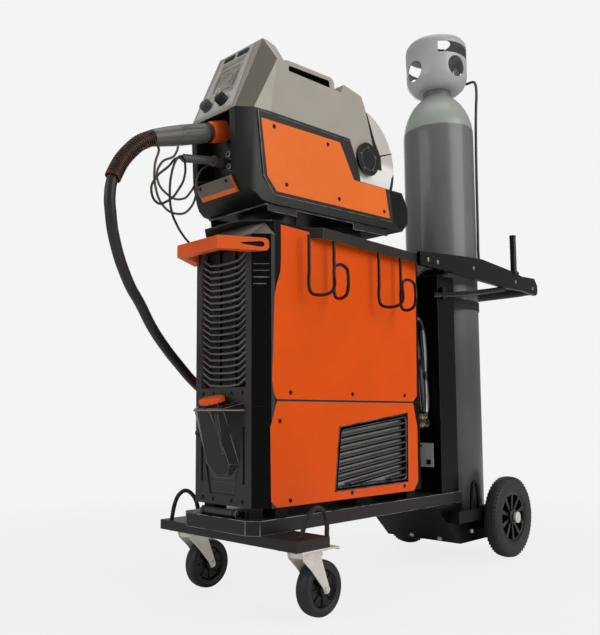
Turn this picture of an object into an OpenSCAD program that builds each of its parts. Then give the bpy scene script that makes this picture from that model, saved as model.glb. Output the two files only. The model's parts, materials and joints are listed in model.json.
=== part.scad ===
// Wire welding set on a wheeled cart: a power source standing on a cooler unit, a wire feeder
// on a tilted cradle over them, and a gas cylinder on the platform behind.
// Millimetres, +Z up. The front faces -Y and +X is to the right of someone facing +Y.

/* [Front beam] */
// Half width of the folded beam that carries the casters
beam_half = 237.5; // [220:0.5:300]
// Depth of the beam, front to back
beam_depth = 108.5; // [100:0.5:140]
// Height of the beam section
beam_h = 23.5; // [18:0.5:40]
// Sheet thickness of beam, tray and platform
sheet = 3; // [2:0.5:5]
// Rod diameter of the cable loops
loop_d = 10; // [6:1:12]

/* [Tray] */
// Half width of the tray
tray_half = 131.5; // [120:0.5:150]
// Height of the tray rails
tray_h = 32.5; // [24:0.5:50]
// Where the tray ends at the back
tray_rear = 850; // [800:5:860]

/* [Casters] */
// Diameter of a caster wheel
caster_d = 125; // [100:1:130]
// Width of a caster wheel
caster_w = 36; // [28:1:42]
// Caster distance from the centre line
caster_x = 194.5; // [180:0.5:197]
// Swivel axis behind the beam's front
caster_y = 65; // [50:1:75]
// How far the wheel trails its swivel axis
caster_trail = 53; // [35:1:56]
// Diameter of kingpin and caster axle
pin_d = 12; // [8:1:16]
// Running gap of pins and axles, on the radius
pin_gap = 0.06; // [0.02:0.01:0.1]

/* [Rear wheels] */
// Diameter of a rear wheel
wheel_d = 250; // [220:1:260]
// Width of a rear wheel
wheel_w = 46; // [35:1:50]
// Outer face of a rear wheel from the centre line
wheel_face = 206.5; // [200:0.5:230]
// Axle position along the cart
wheel_y = 1042; // [1020:1:1060]
// Stub axle diameter
axle_d = 20; // [16:1:25]

/* [Gas cylinder] */
// Diameter of the gas cylinder
gas_d = 235; // [200:1:240]
// Height of the platform floor above the ground
platform_z = 62; // [50:1:80]
// Cylinder axis along the cart
gas_y = 982; // [975:1:990]
// Length of the cylinder up to its neck ring
gas_h = 1474; // [1300:1:1500]

/* [Machine] */
// Half width of power source and cooler
case_half = 131.5; // [125:0.5:131.5]
// Where the machine ends at the back
case_rear = 636; // [625:1:650]
// Height of the machine's underside
case_z = 237; // [230:1:245]
// Height of the seam between cooler and power source
seam_z = 481; // [470:1:490]
// Height of the machine's top
case_top = 903; // [890:1:903]
// Thickness of the case walls
wall = 2; // [1.5:0.5:4]
// Height of the orange bar handle's centre
handle_z = 840; // [825:1:845]
// Number of louvre ribs in the front mask
ribs = 20; // [10:1:24]

/* [Rails and push handle] */
// Outer face of the top rails
rail_x = 155; // [150:1:165]
// Height of the top rails
rail_h = 27; // [20:1:32]
// Where the push handle's grip ends at the back
push_rear = 1355; // [1300:1:1400]
// Diameter of the push handle's grip
grip_d = 36; // [28:1:40]
// Diameter of the post that a hose or lead hangs on
post_d = 21; // [16:1:26]
// Height of that post above the arm
post_h = 125; // [80:1:160]
// Wire diameter of the cable hooks
hook_d = 8; // [6:0.5:10]

/* [Wire feeder] */
// Nose-down tilt of the feeder, degrees
tilt = 2.9; // [0:0.1:3]
// Half width of the feeder body
feed_half = 112; // [110:0.5:116]
// Wall of the feeder's lid and base
feed_wall = 4; // [3:0.5:5]
// Diameter of the wire spool
spool_d = 300; // [200:1:300]
// Width of the wire spool
spool_w = 103; // [80:1:103]
// Radius of the fixed rear dome
dome_r = 160; // [155:1:161]
// Diameter of the hinge hub cap
hub_d = 92; // [60:1:92]
// Knob diameter
knob_d = 32; // [24:1:34]
// Travel of the two panel keys
key_travel = 1.5; // [1:0.5:3]

/* [Gun cable] */
// Diameter of the gun cable
hose_d = 25; // [20:1:25]
// Outer diameter of the bend spring on the cable
spring_d = 36; // [34:1:40]
// Turns of the bend spring
spring_turns = 13; // [8:1:16]

/* [Hidden] */
$fn = 48;
beam_z = 158.5;
tray_z = beam_z + beam_h;
tray_top = tray_z + tray_h;
rail_top = case_top + sheet;
// the part's origin lies on the ground under the middle of its length
handle_front = -82;
origin_y = (handle_front + push_rear) / 2;
// hinge of the feeder lid, in the feeder's own tilted frame
hub = [484, 1126];
lid_line = 1170;
base_z = 945;
deck_z = 1060;
// the cradle's side plates
cradle_half = feed_half - 7;
// side outlines of power source and cooler, (y, z)
power_outline = [[66, 895], [66, 812], [64, 783], [52, 753], [44, 724], [35, 530], [40, 500], [50, 484],
    [601, 484], [620, 500], [627, 862], [627, 895]];
cooler_outline = [[50, 478], [30, 421], [32, 253], [50, 239], [597, 236], [618, 260], [619, 412], [601, 478]];
vent_outline = [[252, 258], [570, 261], [574, 453], [272, 418]];
// plan of the front masks, (x, y)
mask_depth = 45;
mask_plan = [[-99, 0], [99, 0], [case_half, 33], [case_half, mask_depth], [-case_half, mask_depth],
    [-case_half, 33]];
// feeder outlines in its tilted frame: side (y, z) and plan (x, y)
base_side = [[22, lid_line], [22, 1010], [45, 975], [75, 950], [110, base_z], [640, base_z], [672, 972],
    [675, 1017], [649, deck_z], [452, deck_z], [452, 1075], [414, lid_line]];
feed_plan = [[-80, 22], [80, 22], [107, 60], [feed_half, 111], [feed_half, 690], [-feed_half, 690],
    [-feed_half, 111], [-107, 60]];
lid_side = [[140, lid_line], [414, lid_line], [448, 1096], [hub[0] - 20, 1084], [hub[0], 1079],
    [522, 1099], [530, 1126], [488, 1274], [474, 1303], [399, 1315], [384, 1291], [340, 1290], [140, 1290]];
// hook positions along the rails, and how far the hidden side's hooks stand further back
hook_legs = [[138, 231], [417, 517]];
far_shift = 59;
// gun cable: free stretch from the plug to the coil on the far side
hose_route = [[0, -212.5, 1065.45], [0, -218.1, 1063.4], [0, -244, 1046], [0, -270, 1020], [0, -290, 994], [0, -303, 970],
    [0, -312, 950], [0, -318, 904], [-2, -315, 884], [-15, -296, 827], [-50, -235, 743], [-74, -187, 703],
    [-100, -135, 656], [-125, -78, 614], [-150, -14, 573], [-167, 48, 532], [-172, 101.2, 501.5],
    [-172, 125, 494]];
spring_last = 5;
// the coil: its centre (y, z), loop radius, inner loop radius and the step between layers
coil_at = [243.5, 615];
coil_r = 145;
coil_inner = 117;
coil_step = 26;
coil_x = -172.3;
coil_turn = [245, 1080];
tail_route = [[-224, 361, 640], [-224, 363, 670], [-220, 373, 702], [-208, 394, 732], [-195, 420, 748],
    [-187, 448, 755.3], [-185, 476, 755.3], [-185, 505, 755.3]];
// thin leads at the feeder's front, and the gas hose
control_route = [[0, -130, 1041], [0, -136, 1039.9], [6, -151, 1032], [20, -178, 1006], [40, -232, 956], [45, -244, 930],
    [40, -230, 909], [24, -185, 922], [8, -141, 964], [1, -120, 1000], [5, -122, 1026], [20, -142, 1034],
    [32, -162, 1026], [42, -187, 985], [43, -193, 923], [34, -181, 897], [10, -149, 879], [-26, -102, 868],
    [-52, -68, 865], [-76, -34, 863], [-84, -14, 862], [-84, -5, 862]];
sense_route = [[-46, 22.5, 1036], [-54, -8, 1024], [-59, -37, 1014], [-62, -50, 994], [-47, -86, 964], [-21, -154, 955],
    [-8, -191, 980], [-12, -180, 1016], [-34, -120, 1063], [-46, -110, 1098], [-45, -132, 1100],
    [-27, -174, 1066], [8, -199, 1036], [19, -217, 996], [17, -213, 949], [8, -188, 917], [-14, -126, 912],
    [-37, -70, 945], [-47, -47, 984], [-52, -38, 1030], [-50, -10, 1064], [-46, 21, 1071]];
gas_route = [[27.4, 1057.2, 1608], [33, 1072.6, 1608], [52, 1092, 1611], [82, 1083, 1605], [105, 1060, 1582],
    [120, 1038, 1535], [123, 1027, 1480], [123, 1021, 1400], [121, 1016, 1000], [124, 1008, 935], [131, 975, 904],
    [130, 880, 902], [128, 790, 902], [119, 714, 890], [104, 670, 858], [100, 655, 850], [100, 643, 850]];
lead_d = 5.5;
gas_hose_d = 9;
gap = 0.3;
joint_gap = 0.4;

// ---- vector helpers ----
function unit(v) = v / norm(v);
function ramp(t) = let(c = min(max(t, 0), 1)) c * c * (3 - 2 * c);
function blend(a, b, c, d, t) = 0.5 * (2 * b + (c - a) * t + (2 * a - 5 * b + 4 * c - d) * t * t
    + (3 * b - a - 3 * c + d) * t * t * t);
function smooth(p, n) = let(e = len(p) - 1)
    concat([for (i = [0 : e - 1], k = [0 : n - 1])
        blend(p[max(i - 1, 0)], p[i], p[i + 1], p[min(i + 2, e)], k / n)], [p[e]]);
function heading(p, i) = unit(p[min(i + 1, len(p) - 1)] - p[max(i - 1, 0)]);
function squared(v, t) = unit(v - (v * t) * t);
function normals(p, i, v) = i == len(p) ? [] : let(n = squared(v, heading(p, i)))
    concat([n], normals(p, i + 1, n));
function travelled(p, i) = i == 0 ? 0 : travelled(p, i - 1) + norm(p[i] - p[i - 1]);
// polygon drawn in by d; the points run anticlockwise
function drawn_in(p, d) = [for (i = [0 : len(p) - 1])
    let(a = unit(p[i] - p[(i + len(p) - 1) % len(p)]), b = unit(p[(i + 1) % len(p)] - p[i]),
        m = [-a[1], a[0]], n = [-b[1], b[0]])
    p[i] + d * (m + n) / (1 + m * n)];
function turned(v, a) = [v[0], v[1] * cos(a) - v[2] * sin(a), v[1] * sin(a) + v[2] * cos(a)];

// ---- shape helpers ----
module in_place() translate([0, -origin_y, 0]) children();
module tilted() in_place() rotate([tilt, 0, 0]) children();
module box(x, y, z) translate([x[0], y[0], z[0]]) cube([x[1] - x[0], y[1] - y[0], z[1] - z[0]]);
// outline in (y, z), extruded along X
module across(x0, x1) translate([x0, 0, 0]) rotate([90, 0, 90]) linear_extrude(x1 - x0) children();
// outline in (x, z), extruded along Y
module along(y0, y1) translate([0, y1, 0]) rotate([90, 0, 0]) linear_extrude(y1 - y0) children();
module rise(z0, z1) translate([0, 0, z0]) linear_extrude(z1 - z0) children();
module rod_x(x0, x1, y, z, d) translate([x0, y, z]) rotate([0, 90, 0]) cylinder(d = d, h = x1 - x0);
module rod_y(x, y0, y1, z, d) translate([x, y1, z]) rotate([90, 0, 0]) cylinder(d = d, h = y1 - y0);
module post(x, y, z0, z1, d) translate([x, y, z0]) cylinder(d = d, h = z1 - z0);
module bar(a, b, d) let(v = b - a)
    translate(a) rotate([0, acos(v[2] / norm(v)), atan2(v[1], v[0])]) cylinder(d = d, h = norm(v));
module both() {
    children();
    mirror([1, 0, 0]) children();
}
// tube swept along a run of points, with flat ends
module swept(p, d, sides) {
    n = normals(p, 0, [0.31, 0.52, 0.8]);
    rings = [for (i = [0 : len(p) - 1]) let(t = heading(p, i), m = cross(t, n[i]))
        for (k = [0 : sides - 1]) p[i] + d / 2 * (n[i] * cos(360 * k / sides) + m * sin(360 * k / sides))];
    last = (len(p) - 1) * sides;
    skin = [for (i = [0 : len(p) - 2], k = [0 : sides - 1])
        let(a = i * sides + k, b = i * sides + (k + 1) % sides)
        each [[a, a + sides, b], [b, a + sides, b + sides]]];
    ends = concat([for (k = [1 : sides - 2]) [0, k, k + 1]],
        [for (k = [1 : sides - 2]) [last, last + k + 1, last + k]]);
    polyhedron(points = rings, faces = concat(skin, ends), convexity = 10);
}
module bent_bar(p, d, n = 2) swept(smooth(p, n), d, 10);

// ---- cart frame ----
module loop_right() bent_bar([[214, 36, tray_z], [217, 50, 212], [221, 66, 238], [225, 79, 245],
    [228, 93, 240], [230.5, 103, 222], [231.5, 104, tray_z]], loop_d);
module loop_left() bent_bar([[-219, 20, tray_z], [-213, 27, 226], [-204, 35, 247], [-194, 45, 254],
    [-184, 55, 247], [-174, 64, 226], [-169, 70, tray_z]], loop_d);
module front_beam() color("dimgray") in_place() {
    difference() {
        box([-beam_half, beam_half], [-1.5, beam_depth - 1.5], [beam_z, tray_z]);
        box([-beam_half + sheet, beam_half - sheet], [-1.5 + sheet, beam_depth], [beam_z + sheet, tray_z - sheet]);
    }
    loop_right();
    loop_left();
}

tray_plan = [[-104, -24], [104, -24], [tray_half, -4], [tray_half, tray_rear], [-tray_half, tray_rear],
    [-tray_half, -4]];
module base_tray() color("dimgray") in_place() {
    difference() {
        rise(tray_z, tray_top) polygon(tray_plan);
        rise(tray_z - 1, tray_top - sheet) polygon(drawn_in(tray_plan, sheet));
    }
    for (y = [beam_depth + 40, 360, 600]) box([-tray_half + sheet, tray_half - sheet], [y, y + 30],
        [tray_z, tray_top - sheet]);
}

platform_side = [[703, tray_z], [836, platform_z - sheet], [1090, platform_z - sheet], [1090, 163],
    [tray_rear, 163], [tray_rear, tray_z]];
module rear_platform() color("dimgray") in_place() {
    both() across(tray_half - sheet, tray_half) polygon(platform_side);
    // sloping front plate and floor
    across(-tray_half, tray_half) polygon([[703, tray_z], [836, platform_z - sheet], [1090, platform_z - sheet],
        [1090, platform_z], [838, platform_z], [708, tray_z]]);
    box([-tray_half, tray_half], [1087, 1090], [platform_z - 17, platform_z]);
    // outriggers that carry the stub axles
    both() difference() {
        union() {
            box([tray_half, 168], [771, 905], [128, 163]);
            box([tray_half, 153], [905, 1085], [100, 163]);
        }
        box([tray_half, 165], [774, 902], [127, 160]);
    }
    both() bent_bar([[160, 858, 163], [160, 861, 215], [160, 868, 236], [160, 878, 243], [160, 888, 236],
        [160, 898, 200], [160, 902, 163]], loop_d);
}

column_y = 742;
column_top = 868;
module cylinder_column() color("dimgray") in_place() {
    rise(tray_top, column_top) polygon([[-tray_half, column_y], [tray_half, column_y], [tray_half, 835],
        [tray_half - sheet, 835], [tray_half - sheet, column_y + sheet], [-tray_half + sheet, column_y + sheet],
        [-tray_half + sheet, 835], [-tray_half, 835]]);
    // stiffening channel behind the web
    for (x = [-60, 60]) box([x - 12, x + 12], [column_y + sheet, column_y + 18], [tray_top, column_top - 40]);
    box([-tray_half + sheet, tray_half - sheet], [column_y + sheet, 790], [column_top - 40, column_top]);
}

rail_front = [[-60, -8], [60, -8], [111, 39], [108, 140], [rail_x, 190], [rail_x, 616]];
rail_plan = concat(rail_front, [for (i = [5 : -1 : 2]) [-rail_front[i][0], rail_front[i][1]]]);
module top_rails() color("dimgray") in_place() {
    rise(case_top, rail_top) polygon(rail_plan);
    // skirts down the long sides and the slanted fronts
    both() rise(rail_top - rail_h, case_top) polygon([[rail_x - sheet, 191], [case_half + gap, 169.5],
        [case_half + gap, 165.5], [rail_x, 190], [rail_x, 616], [rail_x - sheet, 616]]);
}

function hook_path(a, b, s) = [for (q = [[155, 0, rail_top - rail_h], [155, 0, 750], [159, 1.4, 739],
    [168, 4.5, 733], [202, 16.5, 733], [211, 19.5, 739], [215, 21, 750], [215, 21, 797]])
    [q[0], a + s * q[1], q[2]]];
module cable_hook(a, b) {
    bent_bar(concat(hook_path(a, b, 1), [for (i = [7 : -1 : 0]) hook_path(b, a, -1)[i]]), hook_d, 1);
}
module cable_hooks() color("#222222") in_place() for (h = hook_legs) {
    cable_hook(h[0], h[1]);
    mirror([1, 0, 0]) cable_hook(h[0] + far_shift, h[1] + far_shift);
}

arm_x = [rail_x, rail_x + 12];
arm_side = [[600, 873], [716, 874], [1100, 868], [1231, 873], [push_rear - 18, 868], [push_rear - 5, 878],
    [push_rear - 5, 904], [push_rear - 27, 928], [1234, 923], [1147, 932], [954, 942], [833, 933], [600, 912]];
module push_handle() color("#222222") in_place() {
    both() across(arm_x[0], arm_x[1]) polygon(arm_side);
    // cross bars: one on the column's head, one as the grip
    box([-arm_x[0], arm_x[0]], [745, 765], [column_top, 888]);
    rod_x(-arm_x[0], arm_x[0], push_rear - grip_d / 2, 890, grip_d);
    // braces from low on the arms' front
    both() bent_bar([[tray_half + 9, 700, 800], [tray_half + 13, 800, 812], [tray_half + 17, 960, 838],
        [(arm_x[0] + arm_x[1]) / 2, 1103, 865]], 16);
    both() box([tray_half, tray_half + 17], [745, 765], [column_top - 75, column_top - 40]);
    post((arm_x[0] + arm_x[1]) / 2, 1183, 921, 934, post_d + 6);
    post((arm_x[0] + arm_x[1]) / 2, 1183, 928, 935 + post_h, post_d);
}

strap_z = [786, 814];
module cylinder_strap() color("#222222") in_place() {
    r = gas_d / 2 + gap;
    difference() {
        union() {
            rise(strap_z[0], strap_z[1]) translate([0, gas_y]) circle(r = r + 2.5, $fn = 96);
            both() box([r, r + 2.5], [817, gas_y], strap_z);
        }
        post(0, gas_y, strap_z[0] - 1, strap_z[1] + 1, 2 * r);
        box([-r, r], [800, gas_y], [strap_z[0] - 1, strap_z[1] + 1]);
    }
    // end brackets on the column's flanges, and the buckle behind
    both() box([r + 2.5, tray_half - sheet], [817, 835], strap_z);
    box([-22, 22], [gas_y + r + 0.3, gas_y + r + 8], [strap_z[0] - 4, strap_z[1] + 4]);
}

caster_plate_z = beam_z - 4;
wheel_in = wheel_face - wheel_w;
module caster_plate() {
    difference() {
        box([caster_x - 42, caster_x + 42], [caster_y - 48, caster_y + 48], [caster_plate_z, beam_z]);
        for (dx = [-32, 32], dy = [-38, 38]) post(caster_x + dx, caster_y + dy, beam_z - 5, beam_z + 1, 9);
        post(caster_x, caster_y, caster_plate_z - 1, beam_z + 1, pin_d + 2 * pin_gap);
    }
    for (dx = [-32, 32], dy = [-38, 38]) {
        post(caster_x + dx, caster_y + dy, caster_plate_z - 3, caster_plate_z, 13);
        post(caster_x + dx, caster_y + dy, caster_plate_z, beam_z, 9);
    }
}
module frame_hardware() color("silver") in_place() {
    both() caster_plate();
    // stub axle with its retaining cap
    both() rod_x(153, wheel_face + 5, wheel_y, wheel_d / 2, axle_d);
    both() rod_x(wheel_face + 1, wheel_face + 10, wheel_y, wheel_d / 2, 34);
    // bolts in the sloping plate and the side plates
    both() rod_x(tray_half, tray_half + 5, 900, 90, 12);
    for (x = [-30, 70]) bar([x, 821.9, 71.84], [x, 817.8, 67.44], 14);
    // locking bar under the mask
    rod_x(-62, 62, -6, tray_top + 9, 18);
}

crown_z = 138;
fork_inner = caster_w / 2 + 2.5;
module caster_fork() {
    ay = caster_y + caster_trail;
    difference() {
        union() {
            post(caster_x, caster_y, crown_z, caster_plate_z - gap, 58);
            box([caster_x - fork_inner - 3, caster_x + fork_inner + 3], [caster_y - 20, caster_y + 28],
                [crown_z, crown_z + 3]);
            for (s = [-1, 1]) translate([caster_x + s * (fork_inner + 1.5), 0, 0]) across(-1.5, 1.5)
                polygon([[caster_y - 27, 150], [caster_y + 26, 150], [ay - 18, 136], [ay + 9, 66], [ay + 6, 54],
                    [ay - 6, 54], [ay - 12, 68], [caster_y + 2, 112], [caster_y - 22, 134]]);
        }
        post(caster_x, caster_y, 126, crown_z - 3.5 + 0.5, 23);
    }
    // king pin that turns in the plate
    post(caster_x, caster_y, crown_z + 1, beam_z - 0.5, pin_d);
    rod_x(caster_x - fork_inner - 7, caster_x + fork_inner + 7, ay, caster_d / 2, pin_d - 2);
}
module caster_fork_right() color("silver") in_place() {
    caster_fork();
    // ears that hold the brake pedal
    for (s = [-1, 1]) translate([caster_x + s * (fork_inner + 1.5), 0, 0]) across(-1.5, 1.5)
        polygon([[caster_y + 22, 150], [caster_y + 22, 134], [caster_y + 36, 134], [caster_y + 42, 142],
            [caster_y + 36, 150]]);
    rod_x(caster_x - fork_inner - 3, caster_x + fork_inner + 3, caster_y + 35, 143, 5);
}
module caster_fork_left() color("silver") in_place() mirror([1, 0, 0]) caster_fork();

module caster_wheel() difference() {
    translate([caster_x, caster_y + caster_trail, caster_d / 2]) rotate([0, 90, 0]) rotate_extrude($fn = 96) {
        polygon([[(pin_d - 2) / 2 + pin_gap, -caster_w / 2 - 1.5], [15, -caster_w / 2 - 1.5], [18, -9], [40, -9],
            [44, -caster_w / 2 + 2], [54, -caster_w / 2], [60, -caster_w / 2 + 3], [caster_d / 2, -7],
            [caster_d / 2, 7], [60, caster_w / 2 - 3], [54, caster_w / 2], [44, caster_w / 2 - 2], [40, 9],
            [18, 9], [15, caster_w / 2 + 1.5], [(pin_d - 2) / 2 + pin_gap, caster_w / 2 + 1.5]]);
    }
}
module caster_wheel_right() color("#2b2b2b") in_place() caster_wheel();
module caster_wheel_left() color("#2b2b2b") in_place() mirror([1, 0, 0]) caster_wheel();

module brake_pedal() color("silver") in_place() {
    y0 = caster_y + 35;
    difference() {
        union() {
            box([caster_x - 17, caster_x + 17], [y0 - 5, y0 + 72], [146, 149]);
            for (s = [-1, 1]) box([caster_x + s * 15.5 - 1.5, caster_x + s * 15.5 + 1.5], [y0 - 5, y0 + 8], [139, 147]);
            rod_x(caster_x - 17, caster_x + 17, y0 + 70, 145.5, 7);
        }
        rod_x(caster_x - 30, caster_x + 30, y0, 143, 5 + 2 * pin_gap);
    }
}

module rear_wheel() {
    r = wheel_d / 2;
    h = wheel_w / 2;
    translate([wheel_in + h, wheel_y, r]) rotate([0, 90, 0]) {
        // tyre and rim
        rotate_extrude($fn = 96) polygon([[78, -h + 4], [84, -h], [116, -h + 2], [r, -h + 12], [r, h - 12],
            [116, h - 2], [84, h], [78, h - 4], [76, h - 10], [76, -h + 10]]);
        // hub
        difference() {
            cylinder(r = 24, h = wheel_w - 4, center = true);
            cylinder(d = axle_d + 2 * pin_gap, h = wheel_w, center = true);
        }
        difference() {
            cylinder(r = 76.5, h = 8, center = true);
            cylinder(r = 23, h = 9, center = true);
            for (a = [0 : 36 : 324]) rotate([0, 0, a + 18]) translate([52, 0, -5]) linear_extrude(10)
                polygon([[-20, -4], [17, -12], [17, 12], [-20, 4]]);
        }
        // spokes
        for (a = [0 : 36 : 324]) rotate([0, 0, a]) translate([22, -2.5, -14]) cube([56, 5, 28]);
    }
}
module rear_wheel_right() color("#2b2b2b") in_place() rear_wheel();
module rear_wheel_left() color("#2b2b2b") in_place() mirror([1, 0, 0]) rear_wheel();

// ---- cooler unit ----
shell_half = case_half - wall;
module shell(z0, z1) difference() {
    box([-shell_half, shell_half], [mask_depth, case_rear], [z0, z1]);
    box([-shell_half + wall, shell_half - wall], [mask_depth + wall, case_rear - wall], [z0 + wall, z1 - wall]);
}
module cooler_case() color("#1c1c1e") in_place() {
    difference() {
        shell(case_z, seam_z);
        both() across(shell_half - wall - 1, shell_half + 1) polygon(vent_outline);
    }
    both() for (y = [70, 590]) box([85, 125], [y - 20, y + 20], [tray_top, case_z]);
}

front_screws = [-70, -32, 32, 70];
module cooler_mask() color("#3a3a3c") in_place() difference() {
    rise(case_z + 1.5, 466.7) polygon(mask_plan);
    along(-1, 4) polygon([[-60, 330], [-46, 262], [46, 262], [60, 330]]);
    for (x = front_screws) rod_y(x, -1, 5, 251, 11);
    both() box([70, 78], [-1, 5], [290, 420]);
    both() across(shell_half, case_half + 1) polygon(cooler_outline);
}

cap_lean = 14;
cap_at = [0, -30, 471];
module on_cap() translate(cap_at) rotate([cap_lean, 0, 0]) children();
module coolant_tank() color("#1c1c1e") in_place() {
    hull() {
        rise(474, 476) polygon([[-77, -0.01], [77, -0.01], [60, -12], [-60, -12]]);
        rise(461, 463) polygon([[-77, 0], [-52, -44], [-22, -61], [22, -61], [52, -44], [77, 0]]);
        rise(335, 336) polygon([[-58, 0], [-40, -14], [40, -14], [58, 0]]);
        rise(308, 309) polygon([[-28, 0], [-20, -4], [20, -4], [28, 0]]);
    }
    on_cap() cylinder(d = 46, h = 12);
}
module filler_cap() color("orangered") in_place() on_cap() difference() {
    union() {
        translate([0, 0, 5.5]) cylinder(d = 60, h = 14);
        for (a = [0 : 45 : 315]) rotate([0, 0, a]) translate([27.5, 0, 5.5]) cylinder(d = 7, h = 13);
    }
    translate([0, 0, 4]) cylinder(d = 46 + 2 * pin_gap, h = 8 + joint_gap);
}

module dark_screws(spots, x) both() for (p = spots) rod_x(x, x + 1.4, p[0], p[1], 8);
module cooler_panels() color("orangered") in_place() {
    both() across(shell_half, case_half) difference() {
        polygon(cooler_outline);
        polygon(vent_outline);
    }
    dark_screws([[59.5, 434], [93.5, 252], [320.6, 252], [550, 252]], case_half);
}

slats = 11;
module cooler_grilles() color("#1c1c1e") in_place() both() {
    across(case_half - 9, case_half) difference() {
        polygon(vent_outline);
        polygon(drawn_in(vent_outline, 6));
    }
    for (i = [0 : slats - 1]) let(t = (i + 0.6) / slats, a = [254 + 20 * t, 262 + 152 * t],
        b = [568 + 4 * t, 266 + 184 * t]) across(case_half - 7, case_half - 1)
            polygon([a, b, b + [0, 4], a + [0, 4]]);
}

fan_at = [412, 350];
module cooler_core() color("silver") in_place() {
    floor_z = case_z + wall;
    box([96, 119], [265, 562], [floor_z, 448]);
    // fan motor on its bracket
    rod_x(-10, 50, fan_at[0], fan_at[1], 70);
    rod_x(50, 84, fan_at[0], fan_at[1], 8);
    box([0, 30], [fan_at[0] - 20, fan_at[0] + 20], [floor_z, fan_at[1] - 20]);
    // pump and coolant tank
    box([-112, -46], [80, 190], [floor_z, 340]);
    box([-118, 40], [205, 330], [floor_z, 430]);
}
module rotor(r, hub_r, depth, blades) difference() {
    union() {
        cylinder(r = hub_r, h = depth);
        for (i = [0 : blades - 1]) rotate([0, 0, i * 360 / blades]) translate([hub_r - 3, 0, depth / 2])
            rotate([32, 0, 0]) translate([0, -r * 0.22, -1]) cube([r - hub_r + 3, r * 0.44, 2]);
    }
    translate([0, 0, -1]) cylinder(d = 8 + 2 * pin_gap, h = depth + 2);
}
module cooler_fan() color("#2b2b2b") in_place()
    translate([56, fan_at[0], fan_at[1]]) rotate([0, 90, 0]) rotor(84, 22, 22, 7);

module rear_fittings() color("#b0b0a8") in_place() {
    y = case_rear;
    // quick couplings, their pipes and the gas inlet
    for (z = [418, 440]) {
        rod_y(112, y, y + 34, z, 18);
        rod_y(112, y + 34, y + 46, z, 12);
    }
    bent_bar([[112, y + 46, 440], [112, y + 60, 452], [108, y + 66, 560], [104, y + 62, 700], [104, y + 40, 730],
        [104, y + 1, 730]], 13);
    bent_bar([[112, y + 46, 418], [112, y + 66, 418], [92, y + 76, 452], [84, y + 74, 600], [80, y + 60, 690],
        [80, y + 40, 708], [80, y + 1, 708]], 13);
    rod_y(100, y, y + 7, 850, 16);
    // mains gland and earth socket
    difference() {
        rod_y(-70, y, y + 22, 560, 40);
        rod_y(-70, y + 2, y + 23, 560, 19);
    }
    difference() {
        rod_y(20, y, y + 26, 300, 34);
        rod_y(20, y + 4, y + 27, 300, 13);
    }
    // bare plate on the column's web
    box([56, 105], [column_y - 2, column_y], [291, 362]);
    box([86, 96], [column_y - 2.6, column_y - 2], [300, 312]);
}

// ---- power source ----
fan2 = [0, 600];
module power_case() color("#1c1c1e") in_place() {
    shell(seam_z, case_top);
    rod_y(fan2[0], 600, case_rear - wall, fan2[1], 8);
    rod_y(-60, case_rear, case_rear + 13, 800, 8);
    // inverter block on the floor
    box([-70, 70], [150, 370], [seam_z + wall, seam_z + 92]);
    box([-50, 50], [390, 520], [seam_z + wall, seam_z + 130]);
}

mask_z0 = 467;
mask_z1 = 868;
module louvre(z) along(4, 18) polygon([[-81, z + 20], [-52, z + 3], [-20, z], [20, z], [52, z + 3],
    [81, z + 20], [81, z + 24.5], [52, z + 7], [20, z + 4], [-20, z + 4], [-52, z + 7], [-81, z + 24.5]]);
module panel_recess() both() across(shell_half, case_half + 1) polygon(power_outline);
module power_mask() color("#2a2a2c") in_place() {
    difference() {
        rise(mask_z0, mask_z1) polygon(mask_plan);
        box([-80, 80], [-1, 20], [512, 850]);
        for (x = front_screws) rod_y(x, -1, 5, 499, 11);
        // grooves round the chamfered corners
        for (k = [0 : 3]) both() translate([0, 0, 812 - 16 * k]) linear_extrude(2)
            polygon([[103, 2], [130, 29], [128, 31], [101, 4]]);
        panel_recess();
    }
    for (i = [0 : ribs - 1]) louvre(514 + i * 310 / ribs);
    // sloping hood over the mask
    difference() {
        hull() {
            rise(mask_z1, mask_z1 + 0.2) polygon(mask_plan);
            rise(case_top - 0.2, case_top) polygon([[-62, 36], [62, 36], [100, mask_depth - 1],
                [100, mask_depth], [-100, mask_depth], [-100, mask_depth - 1]]);
        }
        panel_recess();
    }
    // gland of the feeder's control lead
    rod_y(-84, -5, 0, 862, 12);
}
handle_lean = 60.85; // of the arms, seen from above
handle_plan = [[-135.9, 29], [-74, handle_front], [74, handle_front], [135.9, 29], [112, 40], [62, handle_front + 19],
    [-62, handle_front + 19], [-112, 40]];
module power_handle() color("orangered") in_place() difference() {
    intersection() {
        rise(handle_z - 15, handle_z + 15) polygon(handle_plan);
        across(-140, 140) polygon([for (p = [[-90, -15], [16, -15], [21.5, -13], [24.5, -7], [24.5, 7],
            [21.5, 13], [16, 15], [-90, 15]]) [p[0], handle_z + p[1]]]);
    }
    rise(handle_z - 20, handle_z + 20) polygon(mask_plan);
    // teardrop recesses in the arms
    both() translate([74, handle_front, handle_z]) rotate([0, 0, handle_lean]) rotate([90, 0, 0])
        translate([0, 0, -5]) linear_extrude(8) polygon([[52, 0], [62, 2.6], [99, 6.5], [106, 6], [110.5, 2.5],
            [110.5, -2.5], [106, -6], [99, -6.5], [62, -2.6]]);
}
module power_panels() color("orangered") in_place() {
    both() across(shell_half, case_half) polygon(power_outline);
    dark_screws([[96, 500], [327, 500], [559, 500]], case_half);
}
module power_switch() color("#2b2b2b") in_place() difference() {
    union() {
        rod_y(-60, case_rear + joint_gap, case_rear + 12, 800, 44);
        box([-65, -55], [case_rear + 8, case_rear + 22], [780, 820]);
    }
    rod_y(-60, case_rear - 1, case_rear + 14, 800, 8 + 2 * pin_gap);
}
module power_fan() color("#2b2b2b") in_place()
    translate([fan2[0], 627, fan2[1]]) rotate([90, 0, 0]) rotor(90, 22, 22, 7);

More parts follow.
